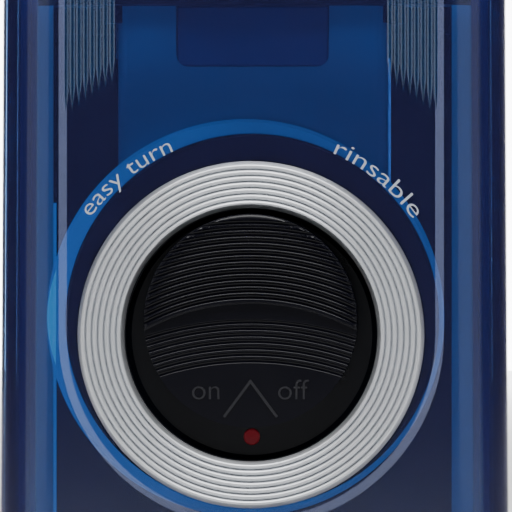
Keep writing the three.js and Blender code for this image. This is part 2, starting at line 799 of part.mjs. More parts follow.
place('front_shell', frontShell(), clearBlue, 0.08, 0, 0.6);
place('rear_shell', rearShell(), clearBlue, 0.1, 0, 0.6);
place('silver_ring', silverRing(), 0xc4c8cc, 0.35, 1);
place('switch_bowl', switchBowl(), black, 0.3);
place('index_dot', turnedY(rod(dotRadius, bowlInside - seat, bowlInside - 0.35), 0, ringZ - dotDrop, 16),
  0xb01820, 0.5);
place('dial', dial(), black, 0.4);
place('dial_spindle', dialSpindle(), steel, 0.3, 1);
place('dial_seal', turnedY(tube(spindleRadius + slip, spindleRadius + 1.8, bowlBack + seat, camFront - seam),
  0, dialZ), 0x28282a, 0.8);
place('switch_cam', switchCam(), 0xd8d8d0, 0.5);
place('dial_clip', dialClip(), steel, 0.3, 1);
place('circuit_board', circuitBoard(), 0x1c5a34, 0.5);
place('inner_chassis', innerChassis(), black, 0.45);
place('battery_cap', batteryCap(), black, 0.4);
place('cap_seal', capSeal(), 0x28282a, 0.8);
place('cap_bridge', capBridge(), copper, 0.3, 1);
place('cap_spring', capSpring(), steel, 0.3, 1);
place('top_contact_plate', topContactPlate(), copper, 0.3, 1);
place('top_contact_spring', topContactSpring(), steel, 0.3, 1);
place('motor_carrier', motorCarrier(), 0xb9c3d6, 0.5);
place('motor_can', motorCan(), steel, 0.3, 1);
place('motor_end_bell', motorEndBell(), 0xe8e6de, 0.5);
place('motor_shaft', motorShaft(), steel, 0.2, 1);
place('armature', armature(), 0x9a5a30, 0.4, 1);
place('eccentric', eccentric(), 0xe8e6de, 0.4);
place('drive_bridge', driveBridge(), 0x202226, 0.4);
place('drive_seal', driveSeal(), 0x28282a, 0.8);
place('top_deck', topDeck(), black, 0.45);
place('deck_gasket', deckGasket(), 0x28282a, 0.8);
place('head_base', headBase(), black, 0.4);
place('foil_cassette', foilCassette(), 0x16264e, 0.3);
place('foil_frame', foilFrame(), 0x8a9098, 0.4);
place('foil', foil(), 0xd4d6d8, 0.25, 1);
place('cutter_block', cutterBlock(), steel, 0.3, 1);
place('cutter_carrier', cutterCarrier(), 0xe8e6de, 0.4);
place('cutter_spring', cutterSpring(), steel, 0.3, 1);
for (const [name, side] of [['left', -1], ['right', 1]]) {
  place(`contact_blade_${name}`, contactBlade(side), copper, 0.3, 1);
  place(`battery_${name}`, battery(side), 0xa8a49a, 0.35, 0.6);
  place(`contact_strip_${name}`, contactStrip(side), copper, 0.3, 1);
  place(`board_screw_${name}`, boardScrew(side), steel, 0.3, 1);
  place(`release_button_${name}`, releaseButton(side), 0x9aa0a8, 0.4);
  place(`release_spring_${name}`, releaseSpring(side), steel, 0.3, 1);
  place(`deck_screw_front_${name}`, deckScrew(side, bossFrontY), steel, 0.3, 1);
  place(`deck_screw_rear_${name}`, deckScrew(side, bossRearY), steel, 0.3, 1);
}

export default shaver;
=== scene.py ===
# %% [markdown]
# # A battery shaver with a clear blue handle
# The shaver stands upright on its flat base. A clear handle of two halves holds a switch dial, two
# cells and a motor, and the head on top carries one floating foil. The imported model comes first,
# because every piece made here sits where that model says, and moves with one of its bodies.

# %% Load the frame
import json
import math

import bmesh
import bpy
from mathutils import Matrix, Vector


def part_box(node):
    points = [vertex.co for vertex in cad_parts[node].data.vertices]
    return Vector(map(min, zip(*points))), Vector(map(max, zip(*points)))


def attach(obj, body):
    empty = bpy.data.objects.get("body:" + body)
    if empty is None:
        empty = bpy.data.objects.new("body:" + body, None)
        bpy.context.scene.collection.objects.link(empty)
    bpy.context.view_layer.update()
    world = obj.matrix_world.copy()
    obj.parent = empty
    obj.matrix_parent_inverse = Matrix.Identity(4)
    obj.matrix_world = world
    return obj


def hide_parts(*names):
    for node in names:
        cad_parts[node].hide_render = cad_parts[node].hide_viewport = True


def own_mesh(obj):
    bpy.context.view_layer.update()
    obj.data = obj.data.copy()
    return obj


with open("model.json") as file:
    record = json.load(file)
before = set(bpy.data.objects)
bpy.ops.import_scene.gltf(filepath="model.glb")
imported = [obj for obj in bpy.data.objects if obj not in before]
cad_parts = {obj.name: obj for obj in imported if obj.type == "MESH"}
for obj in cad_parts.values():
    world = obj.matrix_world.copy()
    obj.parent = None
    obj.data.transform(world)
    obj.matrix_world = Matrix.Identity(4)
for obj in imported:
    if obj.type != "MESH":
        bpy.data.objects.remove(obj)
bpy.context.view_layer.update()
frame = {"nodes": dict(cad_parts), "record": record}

# %% [markdown]
# Everything below is drawn in millimetres, the unit a maker measures such a thing in, and each
# finished mesh is scaled to metres once. A node's box in millimetres is the start of every piece.

# %% Millimetres
MM = 0.001


def node_box(name):
    low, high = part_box(name)
    return low / MM, high / MM


shell_low, shell_high = node_box("front_shell")
ring_low, ring_high = node_box("silver_ring")
dial_low, dial_high = node_box("dial")
ring_z = (ring_low.z + ring_high.z) / 2
ring_outer = (ring_high.x - ring_low.x) / 2
dial_z = (dial_low.z + dial_high.z) / 2
dial_radius = (dial_high.x - dial_low.x) / 2
print(f"ring centre at {ring_z:.2f} mm, dial axis at {dial_z:.2f} mm")

# %% [markdown]
# ## The camera
# A long lens well back from the shaver keeps its sides parallel. It stands level with a point a
# little above the ring, and a touch to the right of the front.

# %% Camera
camera_distance = 750
camera_turn = math.radians(2.4)
camera_height = ring_z + 9.5
view_width = 61.8  # what the frame takes in at the front face

lens = bpy.data.cameras.new("camera")
lens.sensor_width = 36
lens.lens = lens.sensor_width * (camera_distance + shell_low.y) / view_width
lens.clip_start = 0.01
camera = bpy.data.objects.new("camera", lens)
camera.location = Vector((camera_distance * math.sin(camera_turn),
                          -camera_distance * math.cos(camera_turn), camera_height)) * MM
camera.rotation_euler = (math.pi / 2, 0, camera_turn)
bpy.context.scene.collection.objects.link(camera)
bpy.context.scene.camera = camera
print(f"lens {lens.lens:.0f} mm")

# %% [markdown]
# ## Shader maths
# A finish is one Principled shader whose sockets are fed by patterns. Two small classes keep the
# patterns readable: a Signal is a socket that can be added and multiplied like a number, and a
# Finish makes the nodes.

# %% Signals and finishes
class Signal:
    def __init__(self, finish, socket):
        self.finish, self.socket = finish, socket

    def math(self, operation, *values):
        inputs = dict(enumerate(values))
        return self.finish.node("ShaderNodeMath", {"operation": operation}, inputs)

    def __add__(self, other):
        return self.math("ADD", self, other)

    def __sub__(self, other):
        return self.math("SUBTRACT", self, other)

    def __rsub__(self, other):
        return self.math("SUBTRACT", other, self)

    def __mul__(self, other):
        return self.math("MULTIPLY", self, other)

    def clamped(self):
        return self.finish.node("ShaderNodeClamp", {}, {0: self})

    __radd__ = __add__
    __rmul__ = __mul__


class Finish:
    def __init__(self, name, constants):
        self.material = bpy.data.materials.new(name)
        self.material.use_nodes = True
        self.tree = self.material.node_tree
        self.tree.nodes.clear()
        self.output = self.tree.nodes.new("ShaderNodeOutputMaterial")
        self.shader = self.tree.nodes.new("ShaderNodeBsdfPrincipled")
        self.tree.links.new(self.shader.outputs[0], self.output.inputs[0])
        self.feed(self.shader, constants)

    def feed(self, node, inputs):
        for key, value in inputs.items():
            if isinstance(value, Signal):
                self.tree.links.new(value.socket, node.inputs[key])
            else:
                node.inputs[key].default_value = value

    def node(self, kind, settings, inputs, output=0):
        made = self.tree.nodes.new(kind)
        for key, value in settings.items():
            setattr(made, key, value)
        self.feed(made, inputs)
        return Signal(self, made.outputs[output])

    def vary(self, **inputs):
        named = {key.replace("_", " ").title(): value for key, value in inputs.items()}
        self.feed(self.shader, named)

    def place(self, centre=(0, 0, 0), stretch=(1, 1, 1)):
        """Where a point is, in millimetres from a centre."""
        coordinates = self.node("ShaderNodeTexCoord", {}, {}, "Object")
        scale = [side / MM for side in stretch]
        offset = [-along * side for along, side in zip(centre, stretch)]
        return self.node("ShaderNodeMapping", {}, {"Vector": coordinates, "Location": offset,
                                                   "Scale": scale})

    def noise(self, vector, scale, detail=3.0, rough=0.5):
        inputs = {"Vector": vector, "Scale": scale, "Detail": detail, "Roughness": rough}
        return self.node("ShaderNodeTexNoise", {}, inputs, "Fac")

    def blend(self, factor, first, second):
        """A colour between two others."""
        inputs = {0: factor, 6: first, 7: second}
        return self.node("ShaderNodeMix", {"data_type": "RGBA"}, inputs, 2)

    def bumped(self, height, depth):
        """A normal for a surface whose height runs from 0 to 1 over this many millimetres."""
        return self.node("ShaderNodeBump", {}, {"Height": height, "Distance": depth * MM})


def rgb(red, green, blue):
    return (red, green, blue, 1.0)


# %% [markdown]
# Moulded plastic is never quite even. The mould's spark-eroded texture gives a fine grain, and hands
# leave patches that are a little smoother than the rest. One function makes every opaque plastic.

# %% Moulded plastic
def moulded(name, colour, roughness, grain=0.003, grain_scale=9.0, sheen_patches=0.14, lighter=1.35,
            specular=0.5):
    finish = Finish(name, {"Specular IOR Level": specular, "IOR": 1.5})
    where = finish.place()
    patches = finish.noise(where, 0.16, 4.0)
    texture = finish.noise(where, grain_scale, 2.0)
    light = rgb(*[min(1.0, part * lighter) for part in colour])
    finish.vary(base_color=finish.blend(patches * 0.7, rgb(*colour), light),
                roughness=patches * sheen_patches + (roughness - sheen_patches / 2)
                + texture * 0.05,
                normal=finish.bumped(texture, grain))
    return finish.material


black_plastic = moulded("black_plastic", (0.006, 0.0062, 0.0075), 0.4, specular=0.35)
gloss_black = moulded("gloss_black", (0.0016, 0.002, 0.004), 0.27, grain=0.001, specular=0.2)
dial_black = moulded("dial_black", (0.0012, 0.0012, 0.0034), 0.2, specular=0.2)
head_blue = moulded("head_blue", (0.012, 0.026, 0.105), 0.28, grain=0.004)
grey_plastic = moulded("grey_plastic", (0.22, 0.235, 0.26), 0.4)
pale_plastic = moulded("pale_plastic", (0.56, 0.62, 0.72), 0.45, lighter=1.1)
white_plastic = moulded("white_plastic", (0.76, 0.75, 0.7), 0.42, lighter=1.1)
pad_violet = moulded("pad_violet", (0.26, 0.17, 0.36), 0.6)
board_green = moulded("board_green", (0.02, 0.13, 0.05), 0.32, lighter=1.6)
rubber_black = moulded("rubber_black", (0.018, 0.018, 0.019), 0.7, grain=0.012, specular=0.3)
print("opaque plastics made")

# %% [markdown]
# The metals are turned, drawn or wound, so their marks run one way. The ring's marks are circles
# round its own axis: the distance from that axis drives a noise, which gives fine turning lines.

# %% Metals
def worked_metal(name, colour, roughness, stretch, depth=0.004, metallic=1.0):
    finish = Finish(name, {"Metallic": metallic})
    marks = finish.noise(finish.place(stretch=stretch), 3.0, 4.0)
    wear = finish.noise(finish.place(), 0.3, 3.0)
    dark = rgb(*[part * 0.8 for part in colour])
    finish.vary(base_color=finish.blend(marks, dark, rgb(*colour)),
                roughness=marks * 0.12 + wear * 0.12 + (roughness - 0.12),
                normal=finish.bumped(marks, depth))
    return finish.material


def turned_metal(name, colour, roughness, centre):
    finish = Finish(name, {"Metallic": 1.0})
    flat = finish.place(centre, (1, 0, 1))
    radius = finish.node("ShaderNodeVectorMath", {"operation": "LENGTH"}, {0: flat}, "Value")
    along = finish.node("ShaderNodeCombineXYZ", {}, {0: radius})
    lines = finish.noise(along, 14.0, 2.0)
    wear = finish.noise(finish.place(), 0.35, 3.0)
    dark = rgb(*[part * 0.82 for part in colour])
    finish.vary(base_color=finish.blend(lines, dark, rgb(*colour)),
                roughness=lines * 0.14 + wear * 0.1 + (roughness - 0.12),
                normal=finish.bumped(lines, 0.012))
    return finish.material


ring_metal = turned_metal("ring_metal", (0.69, 0.71, 0.74), 0.47, (0, 0, ring_z))
foil_metal = worked_metal("foil_metal", (0.72, 0.73, 0.74), 0.24, (1, 8, 8), 0.001)
steel = worked_metal("steel", (0.6, 0.61, 0.62), 0.26, (6, 6, 0.5))
contact_metal = worked_metal("contact_metal", (0.74, 0.56, 0.3), 0.28, (1, 6, 6))
copper = worked_metal("copper", (0.62, 0.27, 0.12), 0.3, (0.3, 0.3, 9))
cell_wrap = worked_metal("cell_wrap", (0.4, 0.39, 0.36), 0.3, (0.5, 0.5, 6), 0.001, 0.6)

# %% [markdown]
# The clear blue plastic lets light through and tints it, and its polished face mirrors the lights
# more towards the edges. A tinted Transparent shader mixed with a glossy one by the Fresnel share
# does both, and it stays free of noise, where a refracting shader in a thin closed wall wouldn't.

# %% Clear blue plastic
def clear_plastic(name, tint, body_colour, body_share, coat_rough=0.09):
    finish = Finish(name, {"Base Color": body_colour, "Specular IOR Level": 0.8, "IOR": 1.5,
                           "Coat Weight": 1.0, "Coat Roughness": coat_rough, "Coat IOR": 2.35})
    patches = finish.noise(finish.place(), 0.22, 4.0)
    scuffs = finish.noise(finish.place(stretch=(3, 3, 0.25)), 2.2, 5.0)
    finish.vary(roughness=patches * 0.08 + scuffs * 0.06 + 0.1)
    clear = finish.node("ShaderNodeBsdfTransparent", {}, {"Color": tint})
    fresnel = finish.node("ShaderNodeFresnel", {}, {"IOR": 1.5})
    share = (fresnel * 0.9 + body_share + patches * 0.03).clamped()
    mixed = finish.node("ShaderNodeMixShader", {}, {0: share, 1: clear})
    finish.tree.links.new(finish.shader.outputs[0], mixed.socket.node.inputs[2])
    finish.tree.links.new(mixed.socket, finish.output.inputs[0])
    return finish.material


blue_tint = rgb(0.40, 0.60, 0.84)
clear_blue = clear_plastic("clear_blue", blue_tint, rgb(0.055, 0.05, 0.22), 0.085)
# The flutes' copy is satin, and its lighter, more opaque teal body is painted sheen for the light that
# the ribs and grooves catch.
fluted_satin_and_sheen = clear_plastic("fluted_satin_and_sheen", blue_tint, rgb(0.02, 0.085, 0.24), 0.3, 0.2)
# The chamfer's copy is satin, and its much lighter body is painted sheen for the light its slope
# mirrors.
chamfer_satin_and_sheen = clear_plastic("chamfer_satin_and_sheen", blue_tint, rgb(0.2, 0.27, 0.66), 0.2, 0.2)

# %% [markdown]
# Light that enters a clear wall runs along inside it and comes out where the wall ends or bends. That
# is why the seams behind the wall shine. A weak blue emission that fades across the handle stands for
# it, since tracing it would take a refracting wall.

# %% Edge light
def edge_lit(name, colour, glow, strength, fade):
    finish = Finish(name, {"Emission Strength": strength, "Roughness": 0.5})
    where = finish.place()
    split = finish.node("ShaderNodeSeparateXYZ", {}, {0: where})
    mottle = finish.noise(where, 0.12, 2.0)
    share = (mottle * 0.35 + 0.25 + split.math("ABSOLUTE", split) * fade - split * fade).clamped()
    dark = rgb(*[part * 0.25 for part in glow])
    finish.vary(base_color=finish.blend(mottle, rgb(*colour), rgb(*[c * 0.8 for c in colour])),
                emission_color=finish.blend(share, dark, rgb(*glow)))
    return finish.material


# The glow of the ring round the flange is painted light.
glow_ring_light = edge_lit("glow_ring_light", (0.6, 0.72, 0.8), (0.02, 0.42, 0.85), 0.5, 0.012)
# The glow of the narrow edge strips is painted light.
strip_white_glow = edge_lit("strip_white_glow", (0.5, 0.62, 0.7), (0.02, 0.5, 1.0), 0.5, 0.012)
# The liners' faint glow is painted light.
liner_plastic_glow = edge_lit("liner_plastic_glow", (0.5, 0.62, 0.66), (0.1, 0.4, 0.75), 0.12, 0.002)

# %% [markdown]
# The dot is a drop of red paint and the words are printed ink. Both are thin and a little uneven, so
# a soft noise moves their colour and their gloss.

# %% Paint and ink
def painted_dot():
    finish = Finish("red_dot", {"Specular IOR Level": 0.2})
    mottle = finish.noise(finish.place(), 2.5, 3.0)
    finish.vary(base_color=finish.blend(mottle, rgb(0.12, 0.0, 0.006), rgb(0.2, 0.002, 0.01)),
                roughness=mottle * 0.2 + 0.3)
    return finish.material


red_dot = painted_dot()


def printed_ink():
    finish = Finish("printed_ink", {"Specular IOR Level": 0.4})
    mottle = finish.noise(finish.place(), 6.0, 3.0)
    finish.vary(base_color=finish.blend(mottle, rgb(0.3, 0.33, 0.38), rgb(0.44, 0.47, 0.53)),
                roughness=mottle * 0.2 + 0.45)
    return finish.material


ink = printed_ink()

# %% [markdown]
# ## Helpers for the meshes
# A piece starts as a bmesh in millimetres. The last helper cleans it, scales it to metres, gives it
# a finish and ties it to a body of the model, so that it moves as the real piece does.

# %% Mesh helpers
FACING_Y = Matrix.Rotation(math.pi / 2, 4, "X")


def block(low, high):
    low, high = Vector(low), Vector(high)
    bm = bmesh.new()
    matrix = Matrix.Translation((low + high) / 2) @ Matrix.Diagonal((*(high - low), 1))
    bmesh.ops.create_cube(bm, size=1, matrix=matrix)
    return bm


def rounded(bm, edges, radius, segments):
    bmesh.ops.bevel(bm, geom=edges, offset=radius, offset_type="OFFSET", segments=segments,
                    profile=0.5, affect="EDGES", material=-1, clamp_overlap=True)


def upright(bm):
    return [e for e in bm.edges if abs((e.verts[0].co - e.verts[1].co).normalized().z) > 0.99]


def level(bm, height):
    return [e for e in bm.edges if all(abs(v.co.z - height) < 1e-4 for v in e.verts)]


def turned(profile, centre, axis, steps=96):
    """A profile of (radius, distance along the axis) pairs, turned full circle."""
    bm = bmesh.new()
    centre, axis = Vector(centre), Vector(axis)
    verts = [bm.verts.new(centre + Vector((radius, 0, 0)) + axis * along)
             for radius, along in profile]
    edges = [bm.edges.new(pair) for pair in zip(verts, verts[1:])]
    bmesh.ops.spin(bm, geom=verts + edges, cent=centre, axis=axis, angle=math.tau, steps=steps,
                   use_merge=True, use_duplicate=False)
    bmesh.ops.remove_doubles(bm, verts=bm.verts, dist=1e-4)
    bmesh.ops.recalc_face_normals(bm, faces=bm.faces)
    return bm


def joined(*parts):
    first, *others = parts
    for other in others:
        mesh = bpy.data.meshes.new("joining")
        other.to_mesh(mesh)
        other.free()
        first.from_mesh(mesh)
        bpy.data.meshes.remove(mesh)
    return first


def standing_in(bm, name):
    bmesh.ops.recalc_face_normals(bm, faces=bm.faces)
    mesh = bpy.data.meshes.new(name)
    bm.to_mesh(mesh)
    bm.free()
    obj = bpy.data.objects.new(name, mesh)
    bpy.context.scene.collection.objects.link(obj)
    return obj


def combined(bm, operation, *tools):
    """Cuts each tool out of a closed mesh, joins it on, or keeps what both share."""
    for tool in tools:
        base, knife = standing_in(bm, "base"), standing_in(tool, "knife")
        modifier = base.modifiers.new("cut", "BOOLEAN")
        modifier.object, modifier.operation, modifier.solver = knife, operation, "EXACT"
        modifier.use_hole_tolerant = True
        solved = base.evaluated_get(bpy.context.evaluated_depsgraph_get())
        bm = bmesh.new()
        bm.from_mesh(solved.to_mesh())
        solved.to_mesh_clear()
        for obj in (base, knife):
            mesh = obj.data
            bpy.data.objects.remove(obj)
            bpy.data.meshes.remove(mesh)
        bmesh.ops.remove_doubles(bm, verts=bm.verts, dist=1e-4)
    return bm


straight_on = 0.99  # how squarely a flat face looks forward or back


def piece(name, bm, body, finish, slot, *replaced, sharp=32):
    bmesh.ops.remove_doubles(bm, verts=bm.verts, dist=1e-4)
    bmesh.ops.recalc_face_normals(bm, faces=bm.faces)
    bmesh.ops.scale(bm, vec=(MM, MM, MM), verts=bm.verts)
    mesh = bpy.data.meshes.new(name)
    bm.to_mesh(mesh)
    bm.free()
    for one in finish if isinstance(finish, list) else [finish]:
        mesh.materials.append(one)
    mesh.shade_smooth()
    mesh.set_sharp_from_angle(angle=math.radians(sharp))
    for polygon in mesh.polygons:  # a face that looks straight forward or back is a flat one
        polygon.use_smooth = abs(polygon.normal.y) < straight_on
    obj = bpy.data.objects.new(name, mesh)
    bpy.context.scene.collection.objects.link(obj)
    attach(obj, body)
    if replaced:
        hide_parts(*replaced)
    print(f"{name}: {len(mesh.polygons)} faces")
    return obj


# %% [markdown]
# ## The handle's two halves
# The handle is moulded as a front and a rear half that meet on a line round the sides. Both are one
# tube with rounded corners that is a little wider at its foot. A block with its upright edges
# rounded, widened at the bottom, gives the outside, a smaller one the inside, and the first minus
# the second is the wall.

# %% The tube
handle_top = shell_high.z
handle_front = shell_low.y + 0.8
rear_face = node_box("rear_shell")[1].y
corner = 9
wall = 1.8
cap_high = node_box("battery_cap")[1]
growth = (cap_high.x - shell_high.x) / shell_low.z  # of half the width, for each mm down
half_width = shell_high.x - growth * (handle_top - shell_low.z)
foot_widening = 1 + growth * handle_top / half_width
print(f"handle {2 * half_width:.2f} mm wide at the top, {2 * cap_high.x:.2f} mm at the foot")


def handle_block(inset, low, high, segments=20):
    across = half_width - inset
    bm = block((-across, handle_front + inset, 0), (across, rear_face - inset, handle_top))
    rounded(bm, upright(bm), corner - inset, segments)
    foot = [v for v in bm.verts if v.co.z < 0.01]
    bmesh.ops.scale(bm, vec=(foot_widening, 1, 1), verts=foot)
    for height, way in ((low, -1), (high, 1)):
        if height > handle_top:
            lift = [v for v in bm.verts if v.co.z > handle_top - 0.01]
            bmesh.ops.translate(bm, vec=(0, 0, height - handle_top), verts=lift)
            continue
        cut = bmesh.ops.bisect_plane(bm, geom=bm.verts[:] + bm.edges[:] + bm.faces[:],
                                     plane_co=(0, 0, height), plane_no=(0, 0, way),
                                     clear_outer=True)
        rim = [g for g in cut["geom_cut"] if isinstance(g, bmesh.types.BMEdge)]
        if rim:
            bmesh.ops.edgeloop_fill(bm, edges=rim)
    return bm


# %% [markdown]
# The front half has a raised panel, straight above and round below, that frames the switch. Half a
# circle's face is extended upward to the handle's top, then pushed forward, and the last step forward
# is drawn in a little, which leaves the soft chamfer that catches the light all round it.

# %% The raised panel
panel_half = ring_outer + 2.35
panel_front = shell_low.y
chamfer_width = 1.05
chamfer_depth = 0.65


def raised_panel():
    bm = bmesh.new()
    start = handle_front + wall / 2
    bmesh.ops.create_circle(bm, cap_ends=True, radius=panel_half, segments=144,
                            matrix=Matrix.Translation((0, start, ring_z)) @ FACING_Y)
    cut = bmesh.ops.bisect_plane(bm, geom=bm.verts[:] + bm.edges[:] + bm.faces[:], dist=1e-3,
                                 plane_co=(0, 0, ring_z), plane_no=(0, 0, 1), clear_outer=True)
    across = [e for e in bm.edges if all(abs(v.co.z - ring_z) < 1e-3 for v in e.verts)]
    grown = bmesh.ops.extrude_edge_only(bm, edges=across)["geom"]
    lifted = [g for g in grown if isinstance(g, bmesh.types.BMVert)]
    bmesh.ops.translate(bm, vec=(0, 0, handle_top + 4 - ring_z), verts=lifted)
    bmesh.ops.dissolve_faces(bm, faces=bm.faces[:])
    bmesh.ops.dissolve_limit(bm, angle_limit=0.001, verts=bm.verts[:], edges=bm.edges[:])
    front = bmesh.ops.extrude_face_region(bm, geom=bm.faces[:])["geom"]
    pushed = [g for g in front if isinstance(g, bmesh.types.BMVert)]
    bmesh.ops.translate(bm, vec=(0, panel_front + chamfer_depth - start, 0), verts=pushed)
    face = [g for g in front if isinstance(g, bmesh.types.BMFace)]
    bmesh.ops.inset_region(bm, faces=face, thickness=chamfer_width, use_even_offset=True,
                           use_boundary=True)
    drawn_in = {v for f in face for v in f.verts}
    bmesh.ops.translate(bm, vec=(0, -chamfer_depth, 0), verts=list(drawn_in))
    cut = bmesh.ops.bisect_plane(bm, geom=bm.verts[:] + bm.edges[:] + bm.faces[:],
                                 plane_co=(0, 0, handle_top), plane_no=(0, 0, 1), clear_outer=True)
    rim = [g for g in cut["geom_cut"] if isinstance(g, bmesh.types.BMEdge)]
    bmesh.ops.edgeloop_fill(bm, edges=rim)
    return bm


# %% [markdown]
# Eight fine flutes run down from the top on each side of the panel, and their points lie on an arc
# round the ring. They could be painted on as bump, but then their edges wouldn't catch the light.
# Each is cut by a long tool, deepest along its middle, whose lower end is drawn out to a point. The
# face left inside the tool by the second extrusion is deleted, or the cut would leave gaps.

# %% Flutes
flutes_a_side = 8
flute_pitch = 0.8
first_flute = 0.9  # from the panel's edge
flute_reach = 0.385  # half the width, a little under half the pitch, so that no two cutters touch
flute_section = [(-flute_reach, -0.02), (-0.25, 0.05), (-0.12, 0.15), (0, 0.32), (0.12, 0.15),
                 (0.25, 0.05), (flute_reach, -0.02)]
flute_point = 3.6
tip_radius = 34


def flute_cutter(x, tip):
    bm = bmesh.new()
    top = handle_top + 1
    section = [(flute_reach, -0.5), (-flute_reach, -0.5)] + flute_section
    face = bm.faces.new([bm.verts.new((x + across, panel_front + deep, top))
                         for across, deep in section])
    made = bmesh.ops.extrude_face_region(bm, geom=[face])["geom"]
    verts = [g for g in made if isinstance(g, bmesh.types.BMVert)]
    bmesh.ops.translate(bm, vec=(0, 0, tip + flute_point - top), verts=verts)
    end = [g for g in made if isinstance(g, bmesh.types.BMFace)]
    made = bmesh.ops.extrude_face_region(bm, geom=end)["geom"]
    verts = [g for g in made if isinstance(g, bmesh.types.BMVert)]
    bmesh.ops.pointmerge(bm, verts=verts, merge_co=(x, panel_front - 0.06, tip))
    bmesh.ops.delete(bm, geom=end, context="FACES_ONLY")
    return bm


def flute_cutters():
    cutters = []
    for index in range(flutes_a_side):
        x = panel_half - first_flute - index * flute_pitch
        tip = ring_z + math.sqrt(tip_radius ** 2 - x ** 2)
        cutters += [flute_cutter(side * x, tip) for side in (-1, 1)]
    return joined(*cutters)


# %% [markdown]
# The ring sits in a shallow recess, and the switch comes through the hole inside it. One stepped
# cutter, turned round the ring's axis, makes both.

# %% Front half
bowl_low, bowl_high = node_box("switch_bowl")
collar_radius = 17.3
recess_radius = ring_outer + 0.15
recess_floor = ring_high.y + 0.05
handle_foot = shell_low.z


def front_half():
    bm = handle_block(0, handle_foot, handle_top)
    bm = combined(bm, "UNION", raised_panel())
    behind = block((-50, -0.15, -5), (50, 50, 200))
    seat_cutter = turned([(0, panel_front - 3), (recess_radius, panel_front - 3),
                          (recess_radius, recess_floor), (collar_radius, recess_floor),
                          (collar_radius, handle_front + wall + 1), (0, handle_front + wall + 1)],
                         (0, 0, ring_z), (0, 1, 0), 144)
    inside = handle_block(wall, handle_foot - 2, handle_top + 2)
    return combined(bm, "DIFFERENCE", inside, behind, seat_cutter, flute_cutters())


def finish_front(bm):
    """Gives the flutes and the panel's chamfer their own finishes, lighter by painted sheen."""
    chamfer_slope = chamfer_width / math.hypot(chamfer_width, chamfer_depth)
    bm.normal_update()
    for face in bm.faces:
        face.material_index = 0
        middle, normal = face.calc_center_median(), face.normal
        at_edge = panel_front + 0.01 < middle.y < panel_front + chamfer_depth
        if not at_edge or middle.z > handle_top - 0.01:
            continue
        if abs(normal.y + chamfer_slope) < 0.02:
            on_chamfer = (middle.z > ring_z and abs(middle.x) > panel_half - chamfer_width - 0.1
                          or middle.z <= ring_z
                          and math.hypot(middle.x, middle.z - ring_z) > recess_radius + 0.5)
            if on_chamfer:
                face.material_index = 2
                continue
        if middle.z > ring_z + 20 and abs(middle.x) < panel_half - 0.4:
            face.material_index = 1
    bmesh.ops.triangulate(bm, faces=bm.faces[:], ngon_method="BEAUTY")
    print(sum(not e.is_manifold for e in bm.edges), "open edges in the front half")
    return bm


piece("front_shell_clear", finish_front(front_half()), "handle",
      [clear_blue, fluted_satin_and_sheen, chamfer_satin_and_sheen], "clear_blue", "front_shell", sharp=5.5)

# %% [markdown]
# The rear half is the same tube without the panel. A field of shallow grooves across the middle of
# the back gives the fingers a grip.

# %% Rear half
grip_across = half_width - corner - 3
grip_depth = 0.35
grip_count = 14
grip_foot, grip_pitch = 34, 2.4


def grip_cutter(height):
    bm = block((-grip_across, rear_face - grip_depth, height - 0.5),
               (grip_across, rear_face + 1, height + 0.5))
    inner = [e for e in bm.edges if all(v.co.y < rear_face for v in e.verts)]
    rounded(bm, inner, 0.3, 3)
    return bm


def rear_half():
    bm = handle_block(0, handle_foot, handle_top)
    before = block((-50, -50, -5), (50, 0.15, 200))
    inside = handle_block(wall, handle_foot - 2, handle_top + 2)
    grips = joined(*[grip_cutter(grip_foot + grip_pitch * index) for index in range(grip_count)])
    bm = combined(bm, "DIFFERENCE", inside, before, grips)
    for face in bm.faces:
        middle = face.calc_center_median()
        sunk = rear_face - grip_depth - 0.01 < middle.y < rear_face - 0.001
        face.material_index = 1 if sunk and abs(middle.x) < grip_across + 0.01 else 0
    return bm


piece("rear_shell_clear", rear_half(), "handle", [clear_blue, fluted_satin_and_sheen], "clear_blue",
      "rear_shell", sharp=5.5)

# %% [markdown]
# ## The ring
# The ring is turned from aluminium, with seven rounded ridges cut into its face. Its section is
# worked out ridge by ridge and turned round the ring's axis, so every ridge is real and catches the
# light as a thin bright circle.

# %% Ring
ridge_count = 7
ridge_depth = 0.45
ridge_samples = 8
ring_inner = ring_outer - 5.65


def ring_section():
    edge = 0.25
    low, high = ring_inner + edge, ring_outer - edge
    back, front = ring_high.y, ring_low.y
    face = []
    for index in range(ridge_count * ridge_samples + 1):
        share = index / (ridge_count * ridge_samples)
        swell = abs(math.sin(math.pi * share * ridge_count)) ** 0.65
        face.append((low + share * (high - low), front + ridge_depth * (1 - swell)))
    outline = [(ring_inner, back), (ring_inner, front + ridge_depth + edge)] + face
    return outline + [(ring_outer, front + ridge_depth + edge), (ring_outer, back),
                      (ring_inner, back)]


piece("turned_ring", turned(ring_section(), (0, 0, ring_z), (0, 1, 0), 168), "handle", ring_metal,
      "ring_metal", "silver_ring", sharp=60)

# %% [markdown]
# ## The switch bowl
# Behind the ring a black dish holds the dial. Its collar locates in the handle's hole and its broad
# flange, which is centred on the dial instead, lies against the inside of the clear wall.

# %% Bowl
flange_radius = (bowl_high.x - bowl_low.x) / 2
bowl_back = bowl_high.y
bowl_inside = bowl_back - 1.3
flange_front = bowl_back - 1.5
spindle_bore = 2.55


